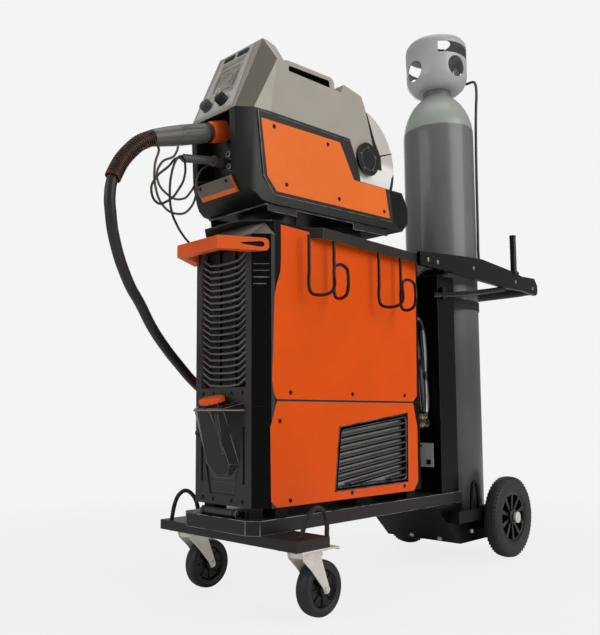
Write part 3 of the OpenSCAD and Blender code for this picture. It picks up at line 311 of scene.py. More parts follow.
def make_finishes(look):
    black = tuple(look.black)
    orange = tuple(look.orange)
    # every edge colour below is a painted highlight on the rounded edges
    coated(
        "frame_paint", tuple(look.frame), 0.42, edge=(tone(196, 190, 182), 0.9),
        dust=(tone(70, 62, 56), 0.30), grain=900, relief=0.00010, shine=0.35,
    )
    coated("column_paint", tone(6, 6, 6), 0.36, edge=(tone(96, 92, 88), 0.5),
           dust=(tone(26, 24, 22), 0.22), shine=0.18)
    coated(
        "black_paint", tone(6, 5, 5), 0.24, coat=0.12, edge=(tone(90, 84, 80), 0.4),
        relief=0.00006, shine=0.3,
    )
    coated("case_paint", black, 0.46, edge=(tone(70, 66, 62), 0.5), shine=0.14)
    coated("mask_plastic", tuple(look.mask), 0.46, edge=(tone(136, 132, 128), 0.7), grain=1500,
           relief=0.00014, dust=(tone(98, 94, 90), 0.16), shine=0.35)
    # pale ribs, and the painted highlight rods on the grille slats
    coated(
        "rib_plastic_and_highlight", tone(96, 92, 90), 0.30, edge=(tone(214, 208, 202), 1.0), grain=1200,
        coat=0.2,
    )
    coated("hood_plastic", tone(60, 54, 50), 0.38, edge=(tone(170, 162, 154), 0.8), grain=1200)
    coated("lip_grey", tone(112, 104, 95), 0.42, edge=(tone(190, 182, 172), 0.8), grain=1200)
    # painted shade and painted light for the facets of the lid's cheeks
    coated(
        "lid_shade", tone(112, 105, 95), 0.50, edge=(tone(206, 198, 188), 0.6), grain=900,
        relief=0.0002,
    )
    coated(
        "lid_painted_light", tone(186, 180, 170), 0.50, edge=(tone(230, 224, 214), 0.6), grain=900,
        relief=0.0002,
    )
    # tank_grey also paints light on the tank's left-turned facets
    coated(
        "tank_grey", tone(62, 60, 58), 0.24, coat=0.3, edge=(tone(170, 166, 162), 0.8),
        relief=0.00004,
    )
    coated("deep_black", tone(6, 6, 6), 0.6)
    coated(
        "tank_plastic", tone(4, 4, 5), 0.14, coat=0.15, edge=(tone(150, 148, 146), 0.8),
        relief=0.00003, shine=0.3,
    )
    coated("tank_rim", tone(140, 130, 120), 0.4)
    coated(
        "black_plastic", tone(12, 12, 12), 0.30, shine=0.4, edge=(tone(120, 116, 112), 0.6),
        relief=0.00006,
    )
    coated(
        "grille_black", tone(5, 5, 5), 0.18, coat=0.2, edge=(tone(120, 116, 112), 0.6), shine=0.3,
    )
    # a painted reflection for the hood's front slope
    coated(
        "hood_painted_reflection", tone(150, 146, 142), 0.34, coat=0.3, edge=(tone(220, 216, 210), 0.8),
        grain=1200,
    )
    coated(
        "feeder_plastic", tone(24, 27, 23), 0.42, edge=(tone(92, 92, 84), 0.6), grain=1100,
        relief=0.00016, shine=0.35,
    )
    coated(
        "side_frame", tone(34, 31, 28), 0.42, edge=(tone(158, 150, 140), 0.9), grain=1100,
        relief=0.00016, shine=0.35,
    )
    # painted highlight under the joint between the cases
    coated("joint_painted_highlight", tone(120, 112, 102), 0.44, grain=1100)
    coated("hub_plastic_and_shadow", tone(21, 20, 20), 0.26, edge=(tone(130, 126, 120), 0.6), relief=0.00004)
    coated("knob_plastic", tone(74, 80, 86), 0.42, edge=(tone(150, 152, 152), 0.6), grain=1400)
    coated("plug_plastic", tone(92, 90, 86), 0.34, edge=(tone(150, 146, 140), 0.5), grain=1100)
    coated("screw_black", tone(16, 11, 10), 0.40, edge=(tone(90, 70, 60), 0.4), shine=0.25)
    coated("red_ring", tone(170, 40, 34), 0.35)
    coated("blue_ring", tone(40, 84, 150), 0.35)
    coated("guard_paint", tuple(look.guard), 0.34, coat=0.25, drift=0.06, relief=0.00010,
           edge=(tone(225, 226, 224), 0.5))
    coated("neck_paint", tone(112, 116, 112), 0.4)
    lid_finish(tuple(look.lid))
    dome_finish(tuple(look.dome))
    coated(
        "panel_pale", tone(214, 214, 208), 0.26, coat=0.4, edge=(tone(250, 250, 246), 0.6),
        relief=0.00005,
    )
    coated(
        "panel_metal", tone(216, 216, 210), 0.30, drift=0.06, edge=(tone(244, 244, 240), 0.7),
        coat=0.3, metal=0.35,
    )
    coated("gauge_face", tone(228, 228, 222), 0.3, drift=0.03, coat=0.5)
    for name, rough, colour in (
        ("orange_paint", 0.30, orange), ("feeder_orange", 0.30, tone(252, 122, 48)),
        ("orange_plastic", 0.40, tone(246, 100, 36)),
    ):
        coated(name, colour, rough, drift=0.04, relief=0.00008,
               edge=(tone(255, 160, 104), 0.5), rough_drift=0.08, shine=0.18)
    drawn_metal("zinc", tone(244, 240, 232), 0.36, tarnish=(tone(176, 166, 152), 0.4), metal=0.35)
    drawn_metal("bare_metal", tone(176, 176, 174), 0.34, tarnish=(tone(110, 104, 98), 0.3))
    drawn_metal("steel", tone(196, 194, 190), 0.24)
    drawn_metal("brass", tone(196, 158, 84), 0.28, tarnish=(tone(120, 84, 44), 0.4))
    drawn_metal("copper", tone(190, 112, 78), 0.30)
    drawn_metal(
        "spring_steel", tone(92, 66, 56), 0.34, tarnish=(tone(140, 84, 62), 0.5), metal=0.7,
    )
    screen_finish()
    rubber_finish("tyre_rubber", tone(46, 45, 44), 0.62, 420.0)
    rubber_finish("caster_rubber", tone(34, 34, 37), 0.55, 420.0)
    rubber_finish("hose_rubber", tone(34, 30, 29), 0.44, 300.0)
    rubber_finish("lead_rubber", tone(92, 82, 74), 0.44, 300.0)
    rubber_finish("gas_rubber", tone(62, 54, 46), 0.48, 300.0)
    rubber_finish("grip_rubber", tone(18, 17, 17), 0.42, 300.0)
    cylinder_finish(tuple(look.cylinder))
    winding_finish()
    strap_finish()


def lid_finish(colour):
    """Warm grey structured plastic with a leathery moulded grain."""
    f = coated("lid_plastic", colour, 0.52, drift=0.05, edge=(tone(226, 220, 210), 0.55))
    cells = f.value(
        "ShaderNodeTexVoronoi", {"feature": "SMOOTH_F1"}, {"Vector": f.place, "Scale": 620.0},
    )
    fine = f.noise(1500.0, 3.0)
    f.bump(cells * 0.7 + fine * 0.3, 0.00035, 0.8)


def dome_finish(colour):
    """Pale plastic, whiter low down behind the hub."""
    f = coated("dome_plastic", colour, 0.34, drift=0.04, coat=0.2, edge=(tone(250, 248, 244), 0.4))
    low = f.step(f.axis("Z"), 1.15, 1.17)
    shade = f.mix(low, tone(252, 251, 249), f.shader.inputs["Base Color"].links[0].from_socket)
    f.set(Base_Color=shade)


def screen_finish():
    """Display glass: a dark sheet over soft bars and a gauge arc, with no lettering."""
    f = Finish("screen_glass")
    streak = f.noise(1.0, 3.0, place=f.stretched((16.0, 60.0, 9.0)))
    shade = f.ramp(
        streak, (0.25, tone(112, 102, 90)), (0.55, tone(168, 158, 144)),
        (0.8, tone(214, 208, 200)),
    )
    f.set(Base_Color=shade, Roughness=0.12 + (streak - 0.5) * 0.06, Coat_Weight=0.8)
    f.shader.inputs["Coat Roughness"].default_value = 0.03
    FINISHES["screen_glass"] = f.material
    g = Finish("screen_mark")
    slow = g.noise(40.0, 3.0)
    g.set(
        Base_Color=g.ramp(slow, (0.3, tone(74, 66, 58)), (0.7, tone(112, 100, 88))),
        Roughness=0.2 + slow * 0.05,
    )
    FINISHES["screen_mark"] = g.material


def rubber_finish(name, colour, rough, grain):
    """Rubber: dull, with fine pores and a dusty bloom."""
    f = coated(name, colour, rough, drift=0.12, dust=(tone(92, 86, 80), 0.22))
    pores = f.noise(grain, 5.0, 0.6)
    f.bump(pores, 0.00025, 0.7)


def cylinder_finish(body):
    """Two-tone cylinder paint: pale shoulder, darker body with faint spinning rings."""
    f = Finish("cylinder_paint")
    height = f.axis("Z")
    slow = f.noise(5.0, 5.0, 0.6)
    rings = f.value(
        "ShaderNodeTexWave",
        {"wave_type": "BANDS", "bands_direction": "Z"},
        {"Vector": f.place, "Scale": 36.0, "Distortion": 0.6, "Detail": 1.0},
    )
    dark = tuple(c * 0.86 for c in body)
    # painted shade cast by the column: the body darkens towards the bottom
    low_painted_shade = f.step(height + (f.noise(14.0, 3.0) - 0.5) * 0.2, 0.55, 1.05)
    lower = f.mix(low_painted_shade, tuple(c * 0.42 for c in body), f.ramp(slow, (0.3, dark), (0.7, body)))
    shoulder = f.ramp(slow, (0.3, tone(150, 158, 150)), (0.7, tone(172, 179, 171)))
    seam = f.step(height + (f.noise(30.0, 2.0) - 0.5) * 0.004, 1.402, 1.408)
    scuffs = f.step(f.noise(1.0, 5.0, 0.65, place=f.stretched((60.0, 60.0, 14.0))), 0.62, 0.72)
    shade = f.mix(scuffs * 0.25, f.mix(seam, lower, shoulder), tone(150, 148, 144))
    f.set(Base_Color=shade, Roughness=0.36 + (slow - 0.5) * 0.14 + scuffs * 0.08, Coat_Weight=0.25)
    fine = f.noise(500.0, 2.0)
    f.bump(rings * 0.8 * (1 - seam) + fine * 0.2, 0.00022, 0.8)
    FINISHES["cylinder_paint"] = f.material


def winding_finish():
    """Copper-coated wire in close turns on its spool."""
    f = coated("wire_winding", tone(186, 118, 84), 0.3, drift=0.1, metal=1.0)
    turns = f.value(
        "ShaderNodeTexWave",
        {"wave_type": "BANDS", "bands_direction": "X", "wave_profile": "SIN"},
        {"Vector": f.place, "Scale": 260.0},
    )
    f.bump(turns, 0.0004)


def strap_finish():
    """Woven strap web."""
    f = coated("strap_web", tone(24, 23, 23), 0.8, drift=0.15)
    weave = f.value(
        "ShaderNodeTexWave",
        {"wave_type": "BANDS", "bands_direction": "Z"},
        {"Vector": f.place, "Scale": 190.0},
    ) + f.value(
        "ShaderNodeTexWave",
        {"wave_type": "BANDS", "bands_direction": "X"},
        {"Vector": f.place, "Scale": 190.0},
    )
    f.bump(weave * 0.5, 0.0004)


# ---- shapes ----
class Shape:
    """A mesh under way, drawn in one of the frames above."""

    def __init__(self, place=CART):
        self.bm = bmesh.new()
        self.place = place
        self.edge = self.bm.loops.layers.float.new("edge")
        self.finishes = []

    def _finish(self, faces, finish):
        if finish not in self.finishes:
            self.finishes.append(finish)
        for face in faces:
            face.material_index = self.finishes.index(finish)

    def _new(self, before, finish):
        self._finish([f for f in self.bm.faces if f not in before], finish)

    def prism(self, outline, depth, finish):
        """A flat outline of points, drawn out by a vector."""
        before = set(self.bm.faces)
        face = self.bm.faces.new([self.bm.verts.new(p) for p in outline])
        grown = bmesh.ops.extrude_face_region(self.bm, geom=[face])["geom"]
        verts = [g for g in grown if isinstance(g, bmesh.types.BMVert)]
        bmesh.ops.translate(self.bm, verts=verts, vec=Vector(depth))
        self._new(before, finish)
        return verts + list(face.verts)

    def across(self, outline, low, high, finish):
        """An outline in (y, z), drawn out along X."""
        return self.prism([(low, y, z) for y, z in outline], (high - low, 0, 0), finish)

    def along(self, outline, low, high, finish):
        """An outline in (x, z), drawn out along Y."""
        return self.prism([(x, low, z) for x, z in outline], (0, high - low, 0), finish)

    def rise(self, outline, low, high, finish):
        """An outline in (x, y), drawn out upwards."""
        return self.prism([(x, y, low) for x, y in outline], (0, 0, high - low), finish)

    def block(self, low, high, finish):
        before = set(self.bm.faces)
        low, high = Vector(low), Vector(high)
        size = Matrix.Diagonal((*(high - low), 1))
        bmesh.ops.create_cube(self.bm, size=1, matrix=Matrix.Translation((low + high) / 2) @ size)
        self._new(before, finish)

    def rod(self, start, end, radius, finish, end_radius=None, sides=32):
        before = set(self.bm.faces)
        start, end = Vector(start), Vector(end)
        turn = Vector((0, 0, 1)).rotation_difference(end - start).to_matrix().to_4x4()
        bmesh.ops.create_cone(
            self.bm,
            cap_ends=True,
            segments=sides,
            radius1=radius,
            radius2=radius if end_radius is None else end_radius,
            depth=(end - start).length,
            matrix=Matrix.Translation((start + end) / 2) @ turn,
        )
        self._new(before, finish)

    def ball(self, centre, radius, finish, squash=(1, 1, 1)):
        before = set(self.bm.faces)
        size = Matrix.Diagonal((*squash, 1))
        bmesh.ops.create_uvsphere(
            self.bm, u_segments=24, v_segments=12, radius=radius,
            matrix=Matrix.Translation(centre) @ size,
        )
        self._new(before, finish)

    def lathe(self, profile, centre, axis, finish, steps=96):
        """A closed profile of (radius, along) pairs, turned about an axis."""
        before = set(self.bm.faces)
        axis = Vector(axis).normalized()
        side = axis.orthogonal().normalized()
        centre = Vector(centre)
        verts = [self.bm.verts.new(centre + side * r + axis * a) for r, a in profile]
        pairs = list(zip(verts, verts[1:]))
        if profile[0][0] > 1e-6 or profile[-1][0] > 1e-6:
            pairs.append((verts[-1], verts[0]))
        edges = [self.bm.edges.new(pair) for pair in pairs]
        bmesh.ops.spin(
            self.bm, geom=verts + edges, cent=centre, axis=axis, dvec=(0, 0, 0),
            angle=math.tau, steps=steps, use_merge=True,
        )
        bmesh.ops.remove_doubles(
            self.bm, verts=[v for v in self.bm.verts if v.is_valid], dist=0.0005,
        )
        self._new(before, finish)

    def ring(self, centre, axis, radius, wire, finish, steps=64, sides=10):
        """A round wire bent to a ring."""
        profile = [
            (radius + wire * math.cos(math.tau * k / sides), wire * math.sin(math.tau * k / sides))
            for k in range(sides)
        ]
        self.lathe(profile, centre, axis, finish, steps)

    def upright_rods(self, count, away, low, high, radius, finish, sides=8):
        """Rods that stand in a ring about the Z axis."""
        for k in range(count):
            a = math.tau * k / count
            spot = Vector((math.cos(a), math.sin(a), 0)) * away
            self.rod(
                spot + Vector((0, 0, low)), spot + Vector((0, 0, high)), radius, finish,
                sides=sides,
            )

    def turned(self, verts_before, matrix):
        """Moves what was added since."""
        verts = [v for v in self.bm.verts if v not in verts_before]
        bmesh.ops.transform(self.bm, matrix=matrix, verts=verts)

    def both(self):
        """Doubles what is there over to the other side."""
        copy = bmesh.ops.duplicate(
            self.bm, geom=self.bm.verts[:] + self.bm.edges[:] + self.bm.faces[:],
        )
        verts = [g for g in copy["geom"] if isinstance(g, bmesh.types.BMVert)]
        faces = [g for g in copy["geom"] if isinstance(g, bmesh.types.BMFace)]
        bmesh.ops.transform(self.bm, matrix=MIRROR, verts=verts)
        bmesh.ops.reverse_faces(self.bm, faces=faces)
        return self

    def tidy(self):
        """Merges doubles and turns every face outwards."""
        bmesh.ops.remove_doubles(self.bm, verts=self.bm.verts[:], dist=0.002)
        bmesh.ops.recalc_face_normals(self.bm, faces=self.bm.faces[:])
        return self

    def soften(self, width, segments=2, crease=34.0):
        """Rounds every outer edge that is sharper than the crease, in degrees."""
        limit = math.radians(crease)
        sharp = [
            e for e in self.bm.edges
            if len(e.link_faces) == 2 and e.calc_face_angle_signed(0) > limit
        ]
        if sharp:
            out = bmesh.ops.bevel(
                self.bm, geom=sharp, offset=width, offset_type="OFFSET", affect="EDGES",
                segments=segments, profile=0.5, material=-1, clamp_overlap=True,
            )
            # mark the rounded faces for the painted edge highlight
            for face in out["faces"]:
                for loop in face.loops:
                    loop[self.edge] = 1.0
        return self

    def piece(self, name, body, slot=None, replaces=(), crease=32.0):
        """Ends the shape as a finished object that rides on a body."""
        if self.place is not None:
            bmesh.ops.transform(self.bm, matrix=self.place, verts=self.bm.verts[:])
        limit = math.radians(crease)
        rounded = {f for f in self.bm.faces if f.loops[0][self.edge] > 0.5}
        for e in self.bm.edges:
            e.smooth = len(e.link_faces) != 2 or e.calc_face_angle(0) < limit
            if len(e.link_faces) == 2 and e.calc_face_angle(0) > math.radians(4):
                if (e.link_faces[0] in rounded) != (e.link_faces[1] in rounded):
                    e.smooth = False
        for face in self.bm.faces:
            face.smooth = True
        mesh = bpy.data.meshes.new(name)
        self.bm.to_mesh(mesh)
        self.bm.free()
        for finish in self.finishes:
            mesh.materials.append(FINISHES[finish])
        made = bpy.data.objects.new(name, mesh)
        bpy.context.scene.collection.objects.link(made)
        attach(made, body)
        if replaces:
            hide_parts(*replaces)
        return made


FLAT = 0.6  # degrees between faces that count as one


def strays(bm, original, width):
    """Whether a point lies further than this from the mesh that the shape was made from."""
    return max((original.find_nearest(v.co)[3] or 0 for v in bm.verts), default=0) > width


def softened(node, finish, width, segments=2, crease=34.0, repaint=None):
    """The CAD node's own shape with rounded edges, as a piece that stands for it.

    repaint is a function of a face's centre and normal that names another finish.
    """
    source = NODES[node].data
    for reach in (width, width * 0.5, width * 0.25, 0):
        shape = Shape(None)
        shape.bm.from_mesh(source)
        shape.edge = shape.bm.loops.layers.float.get(
            "edge"
        ) or shape.bm.loops.layers.float.new("edge")
        bmesh.ops.remove_doubles(shape.bm, verts=shape.bm.verts[:], dist=1e-5)
        tree = BVHTree.FromBMesh(shape.bm)
        bmesh.ops.dissolve_limit(
            shape.bm, angle_limit=math.radians(FLAT), use_dissolve_boundaries=False,
            verts=shape.bm.verts[:], edges=shape.bm.edges[:], delimit=set(),
        )
        if reach:
            shape.soften(reach * MM, segments, crease)
        if not reach or not strays(shape.bm, tree, reach * MM * 1.2):
            break
        shape.bm.free()
    shape.finishes = []
    shape._finish(shape.bm.faces, finish)
    if repaint:
        for face in shape.bm.faces:
            other = repaint(face.calc_center_median() / MM, face.normal)
            if other:
                shape._finish([face], other)
    return shape.piece(
        f"{node}_finished", BODY_OF[node], SLOT_OF.get(node), (node,), crease=crease
    )


SLOT_OF = {
    "front_beam": "frame_paint", "base_tray": "frame_paint", "rear_platform": "frame_paint",
    "cylinder_column": "frame_paint", "top_rails": "frame_paint", "cable_hooks": "black_paint",
    "push_handle": "black_paint", "frame_hardware": "zinc", "caster_fork_left": "zinc",
    "caster_fork_right": "zinc", "caster_wheel_left": "caster_rubber",
    "caster_wheel_right": "caster_rubber", "brake_pedal": "zinc", "rear_wheel_left": "tyre_rubber",
    "rear_wheel_right": "tyre_rubber", "cooler_case": "case_paint", "cooler_mask": "mask_plastic",
    "coolant_tank": "tank_plastic", "filler_cap": "orange_plastic",
    "cooler_panels": "orange_paint", "cooler_grilles": "black_plastic",
    "cooler_core": "bare_metal", "cooler_fan": "black_plastic", "rear_fittings": "fitting_metal",
    "power_case": "case_paint", "power_mask": "mask_plastic", "power_handle": "orange_plastic",
    "power_panels": "orange_paint", "power_switch": "black_plastic", "power_fan": "black_plastic",
    "feeder_cradle": "frame_paint", "feeder_base": "feeder_plastic",
    "feeder_panels": "orange_paint", "feeder_lid": "lid_plastic", "spool_dome": "dome_plastic",
    "control_panel": "panel_metal", "key_left": "black_plastic", "key_right": "black_plastic",
    "knob_left": "knob_plastic", "knob_right": "black_plastic", "wire_spool": "wire_metal",
    "drive_unit": "bare_metal", "drive_roll": "bare_metal", "pressure_arm": "orange_plastic",
    "idler_roll": "bare_metal", "gun_plug": "plug_plastic", "gun_collar": "orange_plastic",
    "gun_spring": "spring_steel", "gun_hose": "hose_rubber", "gun_coil": "hose_rubber",
    "gun_body": "plug_plastic", "gun_trigger": "orange_plastic", "control_cable": "hose_rubber",
    "sense_cable": "hose_rubber", "gas_cylinder": "cylinder_paint", "cylinder_strap": "strap_web",
    "cylinder_valve": "valve_brass", "valve_handwheel": "black_plastic",
    "valve_guard": "guard_paint", "gas_hose": "gas_rubber",
}


def bent_rod(name, points, diameter, finish, body, place=CART, replaces=(), fine=(8, 5)):
    """A round bar, hose or wire along a smooth curve through the points."""
    curve = bpy.data.curves.new(name, "CURVE")
    curve.dimensions = "3D"
    curve.resolution_u = curve.render_resolution_u = fine[0]
    curve.bevel_depth = diameter / 2 * MM
    curve.bevel_resolution = fine[1]
    curve.use_fill_caps = True
    spline = curve.splines.new("BEZIER")
    spline.bezier_points.add(len(points) - 1)
    for knot, point in zip(spline.bezier_points, points):
        knot.co = place @ Vector(point)
        knot.handle_left_type = knot.handle_right_type = "AUTO"
    curve.materials.append(FINISHES[finish])
    made = bpy.data.objects.new(name, curve)
    bpy.context.scene.collection.objects.link(made)
    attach(made, body)
    if replaces:
        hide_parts(*replaces)
    return made


# ---- routes of the cords, in the cart's millimetres ----
HOSE_ROUTE = [
    (0, -212.5, 1065.45), (0, -218.1, 1063.4), (0, -244, 1046), (0, -270, 1020), (0, -290, 994),
    (0, -303, 970), (0, -312, 950), (0, -318, 904), (-2, -315, 884), (-15, -296, 827),
    (-50, -235, 743), (-74, -187, 703), (-100, -135, 656), (-125, -78, 614), (-150, -14, 573),
    (-167, 48, 532), (-172, 101.2, 501.5), (-172, 125, 494), (-172, 148.9, 486.6),
]
TAIL_ROUTE = [
    (-224, 361, 640), (-224, 363, 670), (-220, 373, 702), (-208, 394, 732), (-195, 420, 748),
    (-187, 448, 755.3), (-185, 476, 755.3), (-185, 505, 755.3), (-185, 575, 755.3),
    (-185, 643, 755.3),
]
CONTROL_ROUTE = [
    (0, -130, 1041), (0, -136, 1039.9), (6, -151, 1032), (20, -178, 1006), (40, -232, 956),
    (45, -244, 930), (40, -230, 909), (24, -185, 922), (8, -141, 964), (1, -120, 1000),
    (5, -122, 1026), (20, -142, 1034), (32, -162, 1026), (42, -187, 985), (43, -193, 923),
    (34, -181, 897), (10, -149, 879), (-26, -102, 868), (-52, -68, 865), (-76, -34, 863),
    (-84, -14, 862), (-84, -5, 862),
]
SENSE_ROUTE = [
    (-46, 22.5, 1036), (-54, -8, 1024), (-59, -37, 1014), (-62, -50, 994), (-47, -86, 964),
    (-21, -154, 955), (-8, -191, 980), (-12, -180, 1016), (-34, -120, 1063), (-46, -110, 1098),
    (-45, -132, 1100), (-27, -174, 1066), (8, -199, 1036), (19, -217, 996), (17, -213, 949),
    (8, -188, 917), (-14, -126, 912), (-37, -70, 945), (-47, -47, 984), (-52, -38, 1030),
    (-50, -10, 1064), (-46, 21, 1071),
]
GAS_ROUTE = [
    (27.4, 1057.2, 1608), (33, 1072.6, 1608), (52, 1092, 1611), (82, 1083, 1605),
    (105, 1060, 1582), (120, 1038, 1535), (123, 1027, 1480), (123, 1021, 1400), (121, 1016, 1000),
    (124, 1008, 935), (131, 975, 904), (130, 880, 902), (128, 790, 902), (119, 714, 890),
    (104, 670, 858), (100, 655, 850), (100, 643, 850),
]
SPRING_KNOTS = 7
SPRING_WIRE = 3.0


def ramp(t):
    t = min(max(t, 0.0), 1.0)
    return t * t * (3 - 2 * t)


def coil_point(degrees):
    """A point of the stored coil: two and a bit turns that step outwards and in."""
    radius = 145 - (145 - 117) * ramp((degrees - 810) / 60)
    a = math.radians(degrees)
    return (
        -172.3 - 26 * (ramp((degrees - 455) / 120) + ramp((degrees - 950) / 110)),
        243.5 + radius * math.cos(a),
        615 + radius * math.sin(a),
    )


def blended(points, count):
    """Points on the smooth curve through the given ones."""
    made, last = [], len(points) - 1
    knots = [Vector(p) for p in points]
    for i in range(last):
        a, b, c, d = knots[max(i - 1, 0)], knots[i], knots[i + 1], knots[min(i + 2, last)]
        for k in range(count):
            t = k / count
            made.append(
                0.5 * (2 * b + (c - a) * t + (2 * a - 5 * b + 4 * c - d) * t * t
                       + (3 * b - a - 3 * c + d) * t * t * t)
            )
    made.append(knots[-1])
    return made


def run_length(points):
    return sum((Vector(b) - Vector(a)).length for a, b in zip(points, points[1:])) * MM


def make_cords(sizes):
    """The gun cable, the two thin leads and the gas hose."""
    coil = [coil_point(a) for a in range(245, 1081, 15)]
    route = HOSE_ROUTE + coil + TAIL_ROUTE
    cable = bent_rod(
        "gun_cable", route, sizes.cable_diameter / MM, "hose_rubber", "root",
        replaces=("gun_hose", "gun_coil"),
    )
    control = bent_rod("control_lead", CONTROL_ROUTE, 5.5, "hose_rubber", "root",
                       replaces=("control_cable",))
    sense = bent_rod("sense_lead", SENSE_ROUTE, 5.5, "lead_rubber", "root",
                     replaces=("sense_cable",))
    gas = bent_rod("gas_supply_hose", GAS_ROUTE, 9.0, "gas_rubber", "root",
                   replaces=("gas_hose",))
    spring = bend_spring(sizes)
    gun_plug_piece()
    gun = gun_pieces()
    boots = lead_boots()
    round(run_length(blended(route, 6)), 3)
    round(run_length(blended(CONTROL_ROUTE, 8)), 3)
    round(run_length(blended(SENSE_ROUTE, 8)), 3)
    round(run_length(blended(GAS_ROUTE, 8)), 3)


def bend_spring(sizes):
    """The wound bend spring round the first stretch of the gun cable."""
    knots = HOSE_ROUTE[:1] + HOSE_ROUTE[2:SPRING_KNOTS]
    axis = blended(knots, 12)
    count = sizes.spring_turns * 16
    side = Vector((1, 0, 0))
    points = []
    for k in range(count + 1):
        u = 0.012 + 0.976 * k / count
        s = u * (len(axis) - 1)
        i = min(int(s), len(axis) - 2)
        centre = axis[i].lerp(axis[i + 1], s - i)
        ahead = (axis[min(i + 2, len(axis) - 1)] - axis[max(i - 1, 0)]).normalized()
        up = ahead.cross(side).normalized()
        a = math.tau * sizes.spring_turns * k / count
        points.append(centre + 16.5 * (side * math.cos(a) + up * math.sin(a)))
    spring = bent_rod(
        "cable_bend_spring", points, SPRING_WIRE, "spring_steel", "root",
        replaces=("gun_spring",), fine=(2, 3),
    )
    return spring


def gun_plug_piece():
    """The gun's plug: moulded sleeve with rings and a taper, and the control plug's boot."""
    s = Shape(PLUG)
    s.lathe(
        [
            (0, 0), (15, 0), (15, 54), (22, 54), (23, 55.5), (23, 70), (22.2, 71), (22.2, 74),
            (23, 75), (23, 150), (22.4, 151), (22.4, 154), (23, 155), (22.6, 172), (21.6, 190),
            (20.2, 210), (19, 226), (18.2, 229), (0, 229),
        ],
        (0, 0, 0), (0, 0, 1), "plug_plastic", steps=64,
    )
    # knurled ring behind the collar, then shallow grip flutes along the sleeve
    s.upright_rods(30, 22.8, 57, 69, 1.2, "black_plastic")
    s.upright_rods(16, 22.9, 82, 144, 1.0, "plug_plastic")
    s.tidy()
    s.piece("gun_plug_sleeve", "root", "plug_plastic", ("gun_plug",))
    b = Shape(CART)
    axis = Vector((0, -96.4, -17.7)).normalized()
    profile = [(0, 0), (8.5, 0)]
    for k in range(10):
        t = 6 + 9 * k
        profile += [(8.6, t), (10, t + 0.8), (9.9, t + 3.4), (8.5, t + 4.2)]
    profile += [(7.2, 95), (5.4, 98), (0, 98)]
    b.lathe(profile, (0, -33.6, 1058.7), axis, "plug_plastic", steps=32)
    b.tidy()
    b.piece("control_plug_boot", "root", "plug_plastic")
    c = Shape(FEEDER)
    c.lathe(
        [(0, 0), (12.4, 0), (13, 0.8), (13, 16), (12, 17), (12, 20), (13, 21), (13, 54), (0, 54)],
        (0, 20.4, 1059), (0, 1, 0), "plug_plastic", steps=40,
    )
    c.tidy()
    c.piece("control_plug_body", "root", "plug_plastic")


def gun_pieces():
    """The welding gun on its hook: grip, bent neck, nozzle and contact tip."""
    x, z = GUN_X, GUN_Z
    g = Shape(CART)
    g.lathe(
        [
            (0, 0), (13, 0), (16, 3), (17.5, 8), (18, 14), (17.2, 40), (16.6, 70), (17.4, 100),
            (18, 124), (16.5, 134), (13, 140), (0, 140),
        ],
        (x, 505, z), (0, 1, 0), "plug_plastic", steps=40,
    )
    for k in range(7):
        g.ring((x, 545 + 7 * k, z), (0, 1, 0), 16.9, 1.0, "grip_rubber", steps=40, sides=8)
    g.tidy()
    grip = g.piece("gun_grip", "root", "plug_plastic", ("gun_body",))
    neck = bent_rod(
        "gun_neck",
        [
            (x, 640, z), (x, 660, z), (x, 682, z - 3), (x, 705, z - 14), (x, 722, z - 28),
            (x, 740, z - 44),
        ],
        18, "steel", "root",
    )
    n = Shape(CART)
    way = Vector((0, 42, -42)).normalized()
    n.lathe(
        [
            (5, 0), (11, 0), (12, 2), (12, 42), (11, 53), (9.4, 56.4), (7.6, 56.4), (8.6, 51),
            (8.6, 8), (5, 8),
        ],
        Vector((x, 730, z - 34)), way, "copper", steps=40,
    )
    n.rod(
        Vector((x, 730, z - 34)) + way * 4, Vector((x, 730, z - 34)) + way * 54, 3.4, "brass",
        sides=20,
    )
    n.tidy()
    nozzle = n.piece("gun_nozzle", "root", "plug_plastic")
    return grip, neck, nozzle


def lead_boots():
    """Tapered boots where the thin leads and the gas hose meet a housing."""
    def taper(shape, start, away, length, big, small, finish):
        start, away = Vector(start), Vector(away).normalized()
        profile = [(0, 0), (big, 0), (big, length * 0.2)]
        for k in range(4):
            t = length * (0.28 + 0.16 * k)
            r = big + (small - big) * t / length
            profile += [
                (r, t), (r * 0.86, t + length * 0.03), (r * 0.86, t + length * 0.07),
                (r * 0.97, t + length * 0.1),
            ]
        profile += [(small, length), (0, length)]
        shape.lathe(profile, start, away, finish, steps=24)

    a = Shape(CART)
    taper(a, (-84, -5, 862), (0.55, -0.6, 0.0), 22, 5.6, 3.6, "grip_rubber")
    a.tidy()
    b = Shape(CART)
    taper(b, (-46, 22.5, 1036), (-0.25, -0.93, -0.35), 24, 5.4, 3.4, "grip_rubber")
    taper(b, (-46, 21, 1071), (-0.12, -0.97, -0.2), 24, 5.4, 3.4, "grip_rubber")
    b.tidy()
    c = Shape(CART)
    c.lathe([(0, 0), (6.4, 0), (6.4, 12), (5.6, 13), (5.6, 16), (0, 16)], (27.4, 1057.2, 1608),
            Vector((0.342, 0.94, 0)), "brass", steps=24)
    c.lathe(
        [(0, 0), (7.4, 0), (7.4, 10), (5.8, 12), (5.8, 18), (0, 18)], (100, 643, 850), (0, 1, 0.1),
        "brass", steps=24,
    )
    c.tidy()
    return (
        a.piece("control_lead_boot", "root", "hose_rubber"),
        b.piece("sense_lead_boots", "root", "hose_rubber"),
        c.piece("gas_hose_ferrules", "root", "valve_brass"),
    )


